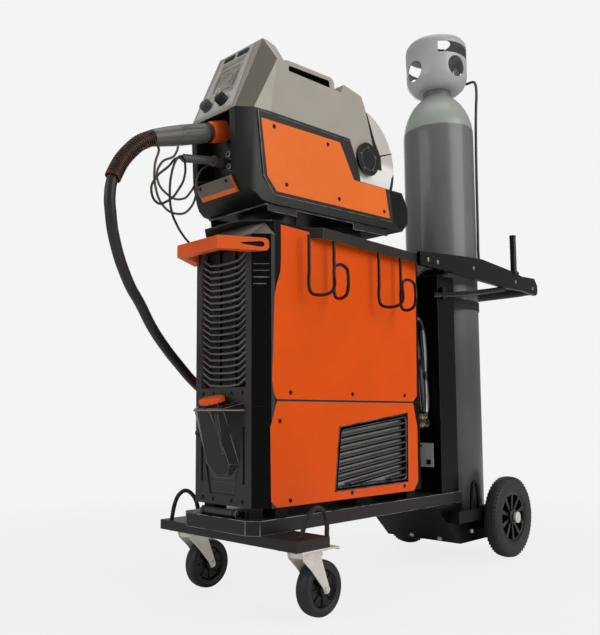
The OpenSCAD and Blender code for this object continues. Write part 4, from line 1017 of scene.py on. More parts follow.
# ---- the stage ----
def make_stage(stage):
    """Camera, soft lamps, pale floor and backdrop."""
    scene = bpy.context.scene
    lens = bpy.data.cameras.new("view")
    lens.lens, lens.sensor_width, lens.sensor_fit = CAMERA_LENS, CAMERA_SENSOR, "AUTO"
    lens.shift_x, lens.shift_y = CAMERA_SHIFT
    lens.clip_start, lens.clip_end = 0.05, 60.0
    camera = bpy.data.objects.new("view", lens)
    camera.location = CAMERA_AT
    camera.rotation_euler = [math.radians(turn) for turn in CAMERA_TURN]
    scene.collection.objects.link(camera)
    scene.camera = camera
    aim = Vector((0, 0, 0.8))
    for name, spot, size, power, shade in (
        ("side_lamp", (3.2, 0.5, 2.3), 2.6, stage.side_lamp, (1.0, 0.98, 0.95)),
        ("front_lamp", (-0.9, -3.4, 1.9), 2.2, stage.front_lamp, (0.96, 0.98, 1.0)),
        ("top_lamp", (0.2, 0.2, 4.2), 2.4, stage.top_lamp, (1.0, 1.0, 1.0)),
        ("back_lamp", (-2.6, 2.8, 2.2), 2.2, stage.back_lamp, (1.0, 1.0, 1.0)),
    ):
        lamp = bpy.data.lights.new(name, "AREA")
        lamp.shape, lamp.size, lamp.energy, lamp.color = "SQUARE", size, power, shade
        holder = bpy.data.objects.new(name, lamp)
        holder.location = spot
        holder.rotation_euler = (aim - Vector(spot)).to_track_quat("-Z", "Y").to_euler()
        scene.collection.objects.link(holder)
    paper = tone(PAPER, PAPER, PAPER)
    world = bpy.data.worlds.new("studio")
    scene.world = world
    world.use_nodes = True
    tree = world.node_tree
    tree.nodes.clear()
    out = tree.nodes.new("ShaderNodeOutputWorld")
    lit, seen = tree.nodes.new("ShaderNodeBackground"), tree.nodes.new("ShaderNodeBackground")
    lit.inputs[0].default_value, lit.inputs[1].default_value = (1, 1, 1, 1), stage.sky
    seen.inputs[0].default_value, seen.inputs[1].default_value = (*paper, 1), 1.0
    path, add, mix = (
        tree.nodes.new(k) for k in ("ShaderNodeLightPath", "ShaderNodeMath", "ShaderNodeMixShader")
    )
    add.operation, add.use_clamp = "ADD", True
    tree.links.new(path.outputs["Is Camera Ray"], add.inputs[0])
    tree.links.new(path.outputs["Is Transmission Ray"], add.inputs[1])
    tree.links.new(add.outputs[0], mix.inputs[0])
    tree.links.new(lit.outputs[0], mix.inputs[1])
    tree.links.new(seen.outputs[0], mix.inputs[2])
    tree.links.new(mix.outputs[0], out.inputs[0])
    make_floor(paper)
    scene.view_settings.view_transform = "Standard"


def make_floor(paper):
    """A wide pale disc that keeps the cart's own shadow and fades out to the backdrop."""
    f = Finish("floor")
    far = f.step(
        f.value("ShaderNodeVectorMath", {"operation": "LENGTH"}, {0: f.place}, output=1),
        *FLOOR_FADE,
    )
    slow = f.noise(3.0, 2.0)
    f.set(
        Base_Color=f.ramp(slow, (0.3, tuple(c * 0.985 for c in paper)), (0.7, paper)),
        Roughness=0.9,
    )
    glow = f.node("ShaderNodeEmission", values={0: (*paper, 1), 1: 1.0})
    path = f.node("ShaderNodeLightPath")
    share = Value(f, path.outputs["Is Camera Ray"]) * (FLOOR_GLOW + far * (1 - FLOOR_GLOW))
    mixed = f.node(
        "ShaderNodeMixShader", values={0: share, 1: f.shader.outputs[0], 2: glow.outputs[0]},
    )
    f.tree.links.new(mixed.outputs[0], f.out.inputs[0])
    bm = bmesh.new()
    bmesh.ops.create_circle(bm, cap_ends=True, segments=96, radius=FLOOR_RADIUS)
    mesh = bpy.data.meshes.new("floor")
    bm.to_mesh(mesh)
    bm.free()
    mesh.materials.append(f.material)
    floor = bpy.data.objects.new("floor", mesh)
    bpy.context.scene.collection.objects.link(floor)


# ---- cart ----
def screw_heads(
    name, body, slot, spots, frame_of=CART, finish="screw_black", radius=4.0, height=1.6,
):
    """Round screw heads with a hexagon socket; spots are (point, outward direction)."""
    s = Shape(frame_of)
    for point, out in spots:
        out = Vector(out).normalized()
        s.lathe([(0, -0.6), (radius, -0.6), (radius, height * 0.35), (radius * 0.8, height * 0.85),
                 (radius * 0.55, height), (radius * 0.5, height * 0.3), (0, height * 0.3)],
                point, out, finish, steps=20)
    s.tidy()
    return s.piece(name, body, slot)


def make_beam_and_tray(sizes):
    softened("front_beam", "frame_paint", sizes.edge)
    softened("base_tray", "frame_paint", sizes.edge)
    right = [(214, 36, 182), (217, 50, 212), (221, 66, 238), (225, 79, 245), (228, 93, 240),
             (230.5, 103, 222), (231.5, 104, 182)]
    left = [(-219, 20, 182), (-213, 27, 226), (-204, 35, 247), (-194, 45, 254), (-184, 55, 247),
            (-174, 64, 226), (-169, 70, 182)]
    for name, route in (("cable_loop_right", right), ("cable_loop_left", left)):
        bent_rod(name, route, 10.5, "frame_paint", "root")
    # the locking bar that holds the cooler down, with its end blocks
    s = Shape()
    for x in (-1, 1):
        s.rod((x * 62, -6, 223.5), (x * 66, -6, 223.5), 7, "black_paint")
        s.rod((x * 48, -6, 223.5), (x * 54, -6, 223.5), 9.6, "black_paint")
    s.rod((-62, -6, 223.5), (62, -6, 223.5), 9.1, "hood_plastic")
    s.block((-78, 2, 214), (-64, 12, 231), "black_paint")
    s.block((64, 2, 214), (78, 12, 231), "black_paint")
    s.tidy().soften(0.6)
    s.piece("locking_bar", "root", "frame_paint")


def make_rear(sizes):
    softened("rear_platform", "column_paint", sizes.edge)
    softened("cylinder_column", "column_paint", sizes.edge)
    for side, name in ((1, "right"), (-1, "left")):
        bent_rod(f"chain_loop_{name}", [(side * 160, y, z) for y, z in (
            (858, 163), (861, 215), (868, 236), (878, 243), (888, 236), (898, 200), (902, 163))],
            10.5, "column_paint", "root")


def make_rails(sizes):
    softened("top_rails", "frame_paint", sizes.edge)
    hooks = []
    for a, b in ((138, 231), (417, 517)):
        for side, shift in ((1, 0), (-1, 59)):
            path = [
                (155, 0, 879), (155, 0, 850), (155, 0, 800), (155, 0, 750), (159, 1.4, 739),
                (168, 4.5, 733), (202, 16.5, 733), (211, 19.5, 739), (215, 21, 750),
                (215, 21, 789), (215, 25, 797),
            ]
            one = [(side * x, a + shift + y, z) for x, y, z in path]
            two = [(side * x, b + shift - y, z) for x, y, z in reversed(path)]
            hooks.append(one + two)
    for k, path in enumerate(hooks):
        bent_rod(f"cable_hook_{k}", path, 8.2, "black_paint", "root",
                 replaces=("cable_hooks",) if k == 0 else ())
    softened("push_handle", "black_paint", 2.2, 3)
    for side, name in ((1, "right"), (-1, "left")):
        bent_rod(f"handle_brace_{name}", [(side * 140.5, 700, 800), (side * 144.5, 800, 812),
                                          (side * 148.5, 960, 838), (side * 161, 1103, 865)],
                 16.6, "black_paint", "root")
    g = Shape()
    g.lathe([(17, -118), (19, -116), (19.2, -100), (19.2, 100), (19, 116), (17, 118)], (0, *GRIP),
            (1, 0, 0), "grip_rubber", steps=48)
    for k in range(-9, 10):
        g.ring((k * 11, *GRIP), (1, 0, 0), 19.0, 0.9, "grip_rubber", steps=48, sides=8)
    g.tidy()
    g.piece("handle_grip_sleeve", "root", "black_paint")
    spots = [
        ((167, y, z), (1, 0, 0))
        for y, z in ((640, 893), (690, 893), (900, 905), (1183, 898), (1310, 890))
    ]
    spots += [((-x, y, z), (-1, 0, 0)) for (x, y, z), _ in list(spots)]
    screw_heads("handle_bolts", "root", "zinc", spots, finish="bare_metal", radius=6.5, height=3.4)
    h = Shape()
    h.lathe(
        [(10.6, 0), (17, 0), (17, 6), (12, 9), (10.6, 9)], (*POST, 924), (0, 0, 1), "black_paint",
        steps=32,
    )
    h.lathe(
        [(10.6, 0), (11.3, 0), (11.3, 4), (10.6, 4)], (*POST, 1055), (0, 0, 1), "black_paint",
        steps=32,
    )
    h.tidy()
    h.piece("post_collar", "root", "black_paint")


def high_bolts(spot, normal):
    """Bolts on the push handle are blackened, those low on the frame bright."""
    return "black_paint" if spot.z > 640 else None


def make_casters():
    softened("frame_hardware", "zinc", 0.5, repaint=high_bolts)
    softened("caster_fork_left", "zinc", 0.5)
    softened("caster_fork_right", "zinc", 0.5)
    softened("brake_pedal", "zinc", 0.6)
    for side, name in ((1, "right"), (-1, "left")):
        centre = (side * CASTER_X, CASTER_Y, CASTER_R)
        w = Shape()
        w.lathe(
            [
                (42, -15), (44, -16.5), (50, -17.8), (53.5, -18), (54.6, -17.2), (55.4, -17.8),
                (58.5, -16.4), (61, -12.5), (62.2, -7), (62.45, -2), (62.45, 2), (62.2, 7),
                (61, 12.5), (58.5, 16.4), (55.4, 17.8), (54.6, 17.2), (53.5, 18), (50, 17.8),
                (44, 16.5), (42, 15),
            ],
            centre, (1, 0, 0), "caster_rubber", steps=96,
        )
        w.lathe(
            [
                (5.1, -19.4), (14, -19.4), (15, -18.4), (15.5, -14), (18.5, -9.4), (38, -9),
                (41, -12), (43.6, -16), (43.6, 16), (41, 12), (38, 9), (18.5, 9.4), (15.5, 14),
                (15, 18.4), (14, 19.4), (5.1, 19.4),
            ],
            centre, (1, 0, 0), "black_plastic", steps=96,
        )
        for k in range(8):
            a = math.tau * k / 8
            for s in (-1, 1):
                at = Vector(centre) + Vector((s * 10.5, 17 * math.cos(a), 17 * math.sin(a)))
                to = Vector(centre) + Vector((s * 10.5, 39 * math.cos(a), 39 * math.sin(a)))
                w.rod(at, to, 1.6, "black_plastic", sides=8)
        w.tidy()
        w.piece(
            f"caster_tyre_{name}", f"roller_{name}", "caster_rubber", (f"caster_wheel_{name}",),
        )
        n = Shape()
        for s in (-1, 1):
            x = side * CASTER_X + s * 23.5
            n.rod((x, CASTER_Y, CASTER_R), (x + s * 1.2, CASTER_Y, CASTER_R), 9, "zinc")
            n.rod((x, CASTER_Y, CASTER_R), (x + s * 3.9, CASTER_Y, CASTER_R), 7, "zinc", sides=6)
        n.tidy().soften(0.4)
        n.piece(f"caster_nuts_{name}", f"swivel_{name}", "zinc")


def make_rear_wheels(sizes):
    for side, name in ((1, "right"), (-1, "left")):
        centre = (side * WHEEL_X, WHEEL_Y, WHEEL_R)
        w = Shape()
        w.lathe(
            [
                (78, -19), (84, -22.4), (86.5, -21.6), (88, -22.4), (104, -22.8), (105.5, -22),
                (107, -22.8), (116, -21), (120.5, -17), (123.4, -12.4), (124.2, -9.4),
                (122.4, -8.8), (122.4, -7.2), (124.6, -6.6), (124.9, -1.6), (123, -1.0),
                (123, 1.0), (124.9, 1.6), (124.6, 6.6), (122.4, 7.2), (122.4, 8.8), (124.2, 9.4),
                (123.4, 12.4), (120.5, 17), (116, 21), (107, 22.8), (105.5, 22), (104, 22.8),
                (88, 22.4), (86.5, 21.6), (84, 22.4), (78, 19),
            ],
            centre, (1, 0, 0), "tyre_rubber", steps=128,
        )
        for k in range(sizes.tread_blocks):
            a = math.tau * k / sizes.tread_blocks
            for s in (-1, 1):
                before = set(w.bm.verts)
                w.block((s * 12 - 1.2, -2.0, 119.5), (s * 12 + 6.5 * s, 2.0, 122.6), "tyre_rubber")
                w.turned(before, Matrix.Translation(centre) @ Matrix.Rotation(a, 4, "X"))
        w.tidy()
        w.piece(f"rear_tyre_{name}", f"wheel_{name}", "tyre_rubber", (f"rear_wheel_{name}",))
        h = Shape()
        h.lathe(
            [
                (70, -15.5), (78.5, -18.5), (79, -16), (77, -12), (76, 0), (77, 12), (79, 16),
                (78.5, 18.5), (70, 15.5), (68, 8), (67.5, 0), (68, -8),
            ],
            centre, (1, 0, 0), "black_plastic", steps=96,
        )
        h.lathe(
            [
                (10.1, -20.8), (20, -20.8), (23, -18), (24, -10), (24, 10), (23, 18), (20, 20.8),
                (10.1, 20.8),
            ],
            centre, (1, 0, 0), "black_plastic", steps=64,
        )
        for k in range(10):
            before = set(h.bm.verts)
            h.prism(
                [(-13, -3.2, 21), (13, -3.2, 21), (15.5, -6.5, 69), (-15.5, -6.5, 69)],
                (0, 0.01, 0), "black_plastic",
            )
            new = [v for v in h.bm.verts if v not in before]
            for v in new:
                if v.co.y > -3.195 and v.co.z < 40 or v.co.y > -6.495 and v.co.z > 40:
                    v.co.y = 3.2 if v.co.z < 40 else 6.5
            h.turned(
                before, Matrix.Translation(centre) @ Matrix.Rotation(math.tau * k / 10, 4, "X"),
            )
        h.tidy().soften(0.9)
        h.piece(f"rear_hub_{name}", f"wheel_{name}", "tyre_rubber")
        c = Shape()
        c.lathe(
            [(0, 0), (17, 0), (17, 5), (15.5, 7.6), (11, 8.8), (0, 9)],
            (side * 207.5, WHEEL_Y, WHEEL_R), (side, 0, 0), "bare_metal", steps=48,
        )
        c.lathe(
            [(10.2, -1), (14, -1), (14, 1.2), (10.2, 1.2)], (side * 206.3, WHEEL_Y, WHEEL_R),
            (side, 0, 0), "zinc", steps=48,
        )
        c.tidy()
        c.piece(f"axle_cap_{name}", "root", "zinc")


# ---- cooler ----
def make_cooler(sizes):
    softened("cooler_case", "case_paint", sizes.edge)
    softened("cooler_mask", "mask_plastic", 1.0, repaint=mask_sides)
    softened("cooler_panels", "orange_paint", 0.5, repaint=panel_screws)
    softened("cooler_core", "bare_metal", 0.6)
    softened("cooler_fan", "black_plastic", 0.3)
    make_grille(sizes)
    front_screws("cooler_front_screws", 251)
    panel_screw_heads(
        "cooler_panel_screws", SIDE, [(59.5, 434), (93.5, 252), (320.6, 252), (550, 252)],
    )
    s = Shape()
    # drain knob on the left edge and the two raised fields under the tank
    s.lathe(
        [(0, 0), (7, 0), (8, 2), (8, 8), (6, 10), (0, 10)], (-84, 0, 404), (0, -1, 0),
        "black_plastic", steps=32,
    )
    s.along([(-40, 300), (40, 300), (52, 326), (-52, 326)], 1.6, 4.4, "hood_plastic")
    s.along([(-38, 268), (38, 268), (44, 292), (-44, 292)], 2.6, 4.4, "mask_plastic")
    s.tidy().soften(0.7)
    s.piece("cooler_front_details", "root", "mask_plastic")


def panel_screws(spot, normal):
    """Screws stand out of the orange panels and are black."""
    return "screw_black" if abs(spot.x) > SIDE + SCREW_FACE else None


def panel_screw_heads(name, x, spots, frame_of=CART):
    """Wide black heads over the screws of a side panel, on both sides."""
    places = [((side * x, y, z), (side, 0, 0)) for side in (-1, 1) for y, z in spots]
    screw_heads(name, "root", "black_plastic", places, frame_of, radius=5.3, height=2.2)


def mask_sides(spot, normal):
    """The slanted corners of the masks are moulded in black."""
    if normal.y < -0.3 and abs(normal.x) > 0.3 and abs(spot.x) > 96:
        return "case_paint"
    return None


def front_screws(name, height):
    spots = [((x, 2.2, height), (0, -1, 0)) for x in (-70, -32, 32, 70)]
    screw_heads(name, "root", "mask_plastic", spots, finish="deep_black", radius=4.6, height=1.6)


def span_at(outline, low, slope):
    """Where a line of this slope crosses an outline in y and z: its two ends' y."""
    crossings = []
    for (y0, z0), (y1, z1) in zip(outline, outline[1:] + outline[:1]):
        over0, over1 = z0 - (low + slope * y0), z1 - (low + slope * y1)
        if over0 * over1 < 0:
            crossings.append(y0 + (y1 - y0) * over0 / (over0 - over1))
    return (min(crossings), max(crossings)) if len(crossings) > 1 else None


def make_grille(sizes):
    """Black frame with rounded corners round a set of slanting slats, one on each side."""
    outline = [(252, 258), (570, 261), (574, 453), (272, 418)]
    inner = [(264, 269.5), (559, 272.5), (562, 439), (282.5, 407.5)]
    s = Shape()
    outer_low = [s.bm.verts.new((124, y, z)) for y, z in outline]
    inner_low = [s.bm.verts.new((124, y, z)) for y, z in inner]
    faces = []
    for k in range(4):
        j = (k + 1) % 4
        faces.append(s.bm.faces.new((outer_low[k], outer_low[j], inner_low[j], inner_low[k])))
    grown = bmesh.ops.extrude_face_region(s.bm, geom=faces)["geom"]
    bmesh.ops.translate(
        s.bm, verts=[g for g in grown if isinstance(g, bmesh.types.BMVert)], vec=(8.6, 0, 0),
    )
    corners = [e for e in s.bm.edges if abs(e.verts[0].co.x - e.verts[1].co.x) > 8]
    bmesh.ops.bevel(s.bm, geom=corners, offset=11, segments=5, profile=0.5, affect="EDGES")
    s._new(set(), "grille_black")
    s.tidy().soften(2.6, 3)
    slope = 0.112
    for i in range(sizes.slats + 1):
        low = 236.5 - slope * 252 + 17.6 * (i + 0.5)
        ends = span_at(inner, low, slope)
        if not ends or ends[1] - ends[0] < 20:
            continue
        a, b = (Vector((126.6, y, low + slope * y)) for y in ends)
        mid = (a + b) / 2
        before = set(s.bm.verts)
        s.rod((a.x, a.y, mid.z), (b.x, b.y, mid.z), 3.6, "case_paint", sides=14)
        new = [v for v in s.bm.verts if v not in before]
        # flatten to a blade that leans outwards, then slant it
        lean = Matrix.Rotation(math.radians(38), 4, "Y")
        bmesh.ops.transform(
            s.bm, verts=new,
            matrix=Matrix.Translation(mid) @ lean @ Matrix.Diagonal((0.42, 1, 1.2, 1))
            @ Matrix.Translation(-mid),
        )
        for v in new:
            v.co.z += slope * (v.co.y - mid.y)
        # painted highlight: a thin pale rod along the slat's upper edge
        lift = Vector((3.2, 0, 4.1))
        s.rod(a + lift, b + lift, 1.25, "rib_plastic_and_highlight", sides=10)
    s.tidy()
    s.both()
    s.piece("cooler_grilles_finished", "root", "black_plastic", ("cooler_grilles",))


def make_tank():
    """Coolant tank with its neck, rim, sight slot and lobed cap."""
    softened("coolant_tank", "tank_plastic", 2.2, 3, crease=9, repaint=tank_facets)
    s = Shape()
    # rim round the top
    s.rise(
        [
            (-79, 0), (-78, -4), (-53.5, -46), (-22.5, -63), (22.5, -63), (53.5, -46), (78, -4),
            (79, 0),
        ],
        457, 460.5, "tank_rim",
    )
    s.tidy().soften(0.8)
    s.piece("tank_rim", "root", "tank_plastic")
    w = Shape()
    top, low = Vector((35, -50.2, 446)), Vector((31.4, -22.4, 360))
    out = Vector((0.42, -0.83, -0.2))
    for radius, lift, finish in (
        (6.2, -4.0, "tank_grey"), (4.4, -1.7, "deep_black"), (2.0, 1.0, "tank_grey"),
    ):
        a, b = top + out * lift, low + out * lift
        w.rod(a, b, radius, finish, sides=24)
        w.ball(a, radius, finish)
        w.ball(b, radius, finish)
    w.tidy()
    w.piece("tank_sight_slot", "root", "tank_plastic")
    c = Shape(CAP)
    c.lathe(
        [
            (23.2, 5.5), (28, 5.5), (29, 6.5), (29.4, 15), (28.6, 17.6), (25.5, 19.0), (16, 19.2),
            (14.6, 18.2), (4, 18.2), (0, 18.4), (0, 12.6), (23.2, 12.6),
        ],
        (0, 0, 0), (0, 0, 1), "orange_plastic", steps=64,
    )
    c.upright_rods(16, 28.6, 5.8, 16.4, 2.3, "orange_plastic", sides=12)
    c.block((-12, -2.2, 17.8), (12, 2.2, 19.4), "orange_plastic")
    c.tidy()
    c.piece("filler_cap_finished", "cap", "orange_plastic", ("filler_cap",))


def tank_facets(spot, normal):
    """The facets turned to the left are matt grey, the others glossy black."""
    return "tank_grey" if normal.x < -0.2 and abs(normal.z) < 0.6 else None


# ---- power source ----
def make_power_source(sizes):
    softened("power_case", "case_paint", sizes.edge)
    softened("power_mask", "mask_plastic", 0.7, repaint=power_mask_parts)
    softened("power_panels", "orange_paint", 0.5, repaint=panel_screws)
    softened("power_handle", "orange_plastic", 3.0, 3, repaint=teardrop)
    softened("power_switch", "black_plastic", 0.8)
    softened("power_fan", "black_plastic", 0.3)
    front_screws("power_front_screws", 499)
    panel_screw_heads("power_panel_screws", SIDE, [(96, 500), (327, 500), (559, 500)])
    s = Shape()
    # upright bars behind the ribs, and a black sheet behind them as painted shade inside the
    # louvre
    for x in (-28, 28):
        s.block((x - 1.6, 14, 512), (x + 1.6, 18.6, 850), "black_plastic")
    s.block((-80, 19.2, 512), (80, 20.2, 850), "deep_black")
    s.tidy()
    s.piece("louvre_bars", "root", "mask_plastic")
    c = Shape()
    # four short ribs on each slanted corner, in line with the louvre
    for k in range(4):
        z = 749 + 15.5 * k
        c.rise(
            [(101.8, 3.4), (126.8, 30.5), (127.8, 29.5), (102.8, 2.4)], z, z + 1.8, "rib_plastic_and_highlight",
        )
    c.tidy().soften(0.4)
    c.both()
    c.piece("corner_ribs", "root", "mask_plastic")
    t = Shape()
    # painted shadow and painted highlight at the joint between the two cases, in slim strips on
    # both sides: black for the shadow in the gap, pale under it for the highlight on the cooler's
    # top edge
    for side in (-1, 1):
        t.block(
            (min(side * 128.8, side * 129.9), 52, 479.8),
            (max(side * 128.8, side * 129.9), 598, 483.6), "deep_black",
        )
        t.block(
            (min(side * 128.8, side * 131.3), 52, 478.1),
            (max(side * 128.8, side * 131.3), 598, 479.7), "joint_painted_highlight",
        )
    t.tidy()
    t.piece("case_joint_shadow_and_highlight", "root", "case_paint")


def power_mask_parts(spot, normal):
    """Ribs, hood and the dark sheet behind the ribs."""
    x, y, z = spot.x, spot.y + MIDDLE, spot.z
    if 3.5 < y < 18.6 and 510 < z < 852 and abs(x) < 81.5:
        return "rib_plastic_and_highlight"
    # painted reflection and painted light on the hood's up-turned slopes
    if z > 868.5 and normal.z > 0.15 and z < 902.5:
        return "hood_painted_reflection" if normal.y < -0.3 and abs(normal.x) < 0.5 else "lip_grey"
    if z > 866:
        return "hood_plastic"
    # painted shade: the mask behind the ribs is black
    if y > 18.6 and abs(x) < 80.5 and 511 < z < 851:
        return "deep_black"
    return mask_sides(spot, normal)


def teardrop(spot, normal):
    """The recess in each arm is dark on its floor."""
    x, y = abs(spot.x) - HANDLE_BEND[0], spot.y + MIDDLE - HANDLE_BEND[1]
    along = x * math.cos(HANDLE_LEAN) + y * math.sin(HANDLE_LEAN)
    deep = y * math.cos(HANDLE_LEAN) - x * math.sin(HANDLE_LEAN)
    if 50 < along < 112 and abs(spot.z - 840) < 7 and 1.0 < deep < 6:
        return "screw_black"
    return None


def pale_plate(spot, normal):
    """The bracket plate low on the column's front is painted pale."""
    return "panel_pale" if spot.y + MIDDLE > 735 and spot.z < 380 else None


def make_rear_fittings():
    """Couplings, pipes, gas inlet, mains gland and earth socket at the back."""
    softened("rear_fittings", "bare_metal", 0.5, repaint=pale_plate)
    r = Shape()
    r.block((82, 738.8, 299), (96, 740.2, 313), "deep_black")
    r.block((60, 739.2, 350), (66, 740.2, 356), "screw_black")
    for z, ring in ((418, "blue_ring"), (440, "red_ring")):
        r.lathe(
            [(9, 4), (10.6, 4), (10.6, 14), (9, 14)], (112, REAR, z), (0, 1, 0), ring, steps=40,
        )
        r.lathe(
            [(9, 20), (11, 20), (11, 30), (9, 32)], (112, REAR, z), (0, 1, 0), "brass", steps=40,
        )
    r.lathe([(8, 0), (10, 0), (10, 4), (8, 4)], (100, REAR, 850), (0, 1, 0), "brass", steps=6)
    r.lathe(
        [(20, 2), (21.4, 2), (21.4, 12), (20, 12)], (-70, REAR, 560), (0, 1, 0), "black_plastic",
        steps=12,
    )
    r.lathe(
        [(17, 2), (18.6, 2), (18.6, 10), (17, 10)], (20, REAR, 300), (0, 1, 0), "black_plastic",
        steps=40,
    )
    r.tidy()
    r.piece("coupling_rings", "root", "fitting_metal")
    bent_rod(
        "coolant_pipe_out",
        [
            (112, 681, 440), (112, 696, 452), (108, 702, 560), (104, 698, 700), (104, 676, 730),
            (104, 637, 730),
        ],
        13.6, "grip_rubber", "root",
    )
    bent_rod(
        "coolant_pipe_back",
        [
            (112, 681, 418), (112, 702, 418), (92, 712, 452), (84, 710, 600), (80, 696, 690),
            (80, 676, 708), (80, 637, 708),
        ],
        13.6, "grip_rubber", "root",
    )
    # louvred outlet and corner screws on the rear panels
    v = Shape()
    for x, z0, rows, width in ((-52, 525, 9, 104), (-98, 300, 6, 80)):
        for z in range(z0, z0 + 14 * rows, 14):
            v.prism(
                [(x, 636.0, z), (x, 637.6, z + 1), (x, 636.0, z + 8)], (width, 0, 0), "case_paint",
            )
    v.tidy()
    v.piece("rear_louvres", "root", "case_paint")
    spots = [((x, 636.2, z), (0, 1, 0)) for x in (-118, 118) for z in (252, 466, 496, 700, 884)]
    screw_heads("rear_screws", "root", "case_paint", spots, finish="bare_metal", radius=4.2)


# ---- feeder ----
def make_feeder(sizes):
    softened("feeder_cradle", "frame_paint", sizes.edge)
    softened("feeder_base", "feeder_plastic", 1.2)
    softened("feeder_panels", "feeder_orange", 0.5, repaint=feeder_screws)
    # two coolant couplings at the back of the connector recess
    q = Shape(FEEDER)
    for z, ring in ((1066, "blue_ring"), (1036, "red_ring")):
        q.lathe(
            [
                (0, 0), (9, 0), (9, 14), (7.6, 15), (7.6, 22), (10, 23), (10.4, 24), (10.4, 34),
                (9.6, 35), (8, 35.4), (8, 44), (7, 45), (4.6, 45), (4.6, 36), (0, 36),
            ],
            (44, 74, z), (0, -1, 0), "bare_metal", steps=40,
        )
        q.lathe(
            [(9.8, 26), (10.9, 26), (10.9, 31), (9.8, 31)], (44, 74, z), (0, -1, 0), ring,
            steps=40,
        )
    q.tidy()
    q.piece("feeder_couplings", "root", "bare_metal")
    panel_screw_heads("feeder_panel_screws", FEEDER_SIDE,
                      [(119, 1134), (318, 1133), (155, 998), (355, 995), (554, 991)], FEEDER)
    lip = Shape(FEEDER)
    lip.across(
        [(12.8, 1006.2), (28.8, 980.9), (30.2, 981.8), (15, 1006), (22, 1009.6), (22, 1010.9)],
        -62.3, 62.3, "lip_grey",
    )
    for x in (-47, 47):
        lip.rod((x, 17.4, 998.6), (x, 16.2, 997.9), 4.2, "screw_black", sides=24)
    lip.tidy().soften(0.4)
    lip.piece("lip_cover", "root", "feeder_plastic")
    s = Shape(FEEDER)
    strip = [
        (68, 1164), (79, 1007), (112, 966), (594, 966), (578, 1058), (453, 1058), (449, 1076),
        (411, 1164),
    ]
    s.across(strip, 107.5, 112.9, "side_frame")
    rear = [(597, 967), (639, 948), (668, 974), (671, 1016), (646, 1056.5), (581, 1058)]
    s.across(rear, 107.5, 112.7, "black_paint")
    s.tidy().soften(1.4, 2)
    s.both()
    s.piece("feeder_side_frames", "root", "feeder_plastic")
    softened("drive_unit", "bare_metal", 0.8)
    softened("drive_roll", "steel", 0.6)
    softened("idler_roll", "steel", 0.6)
    softened("pressure_arm", "orange_plastic", 0.8)
    make_spool()


def feeder_screws(spot, normal):
    """The same on the feeder's panels."""
    return "screw_black" if abs(spot.x) > FEEDER_SIDE + SCREW_FACE - 0.05 else None


def make_spool():
    """Wire spool: two flanges with ribs and the wound wire between them."""
    s = Shape(FEEDER)
    at = (0, HUB[0], HUB[1])
    s.lathe(
        [
            (25.1, -51.5), (60, -51.5), (62, -50), (146, -50), (148, -51.4), (150, -50.6),
            (150, -47.5), (70, -47.5), (70, 47.5), (150, 47.5), (150, 50.6), (148, 51.4),
            (146, 50), (62, 50), (60, 51.5), (25.1, 51.5),
        ],
        at, (1, 0, 0), "black_plastic", steps=96,
    )
    s.lathe(
        [(70.2, -47.3), (134, -47.3), (135, -40), (135, 40), (134, 47.3), (70.2, 47.3)], at,
        (1, 0, 0), "wire_winding", steps=96,
    )
    for k in range(8):
        for side in (-1, 1):
            before = set(s.bm.verts)
            s.block(
                (min(side * 50, side * 51.4), -1.5, 62), (max(side * 50, side * 51.4), 1.5, 146),
                "black_plastic",
            )
            s.turned(before, Matrix.Translation(at) @ Matrix.Rotation(math.tau * k / 8, 4, "X"))
    s.tidy()
    s.piece("wire_spool_finished", "spool", "wire_metal", ("wire_spool",))


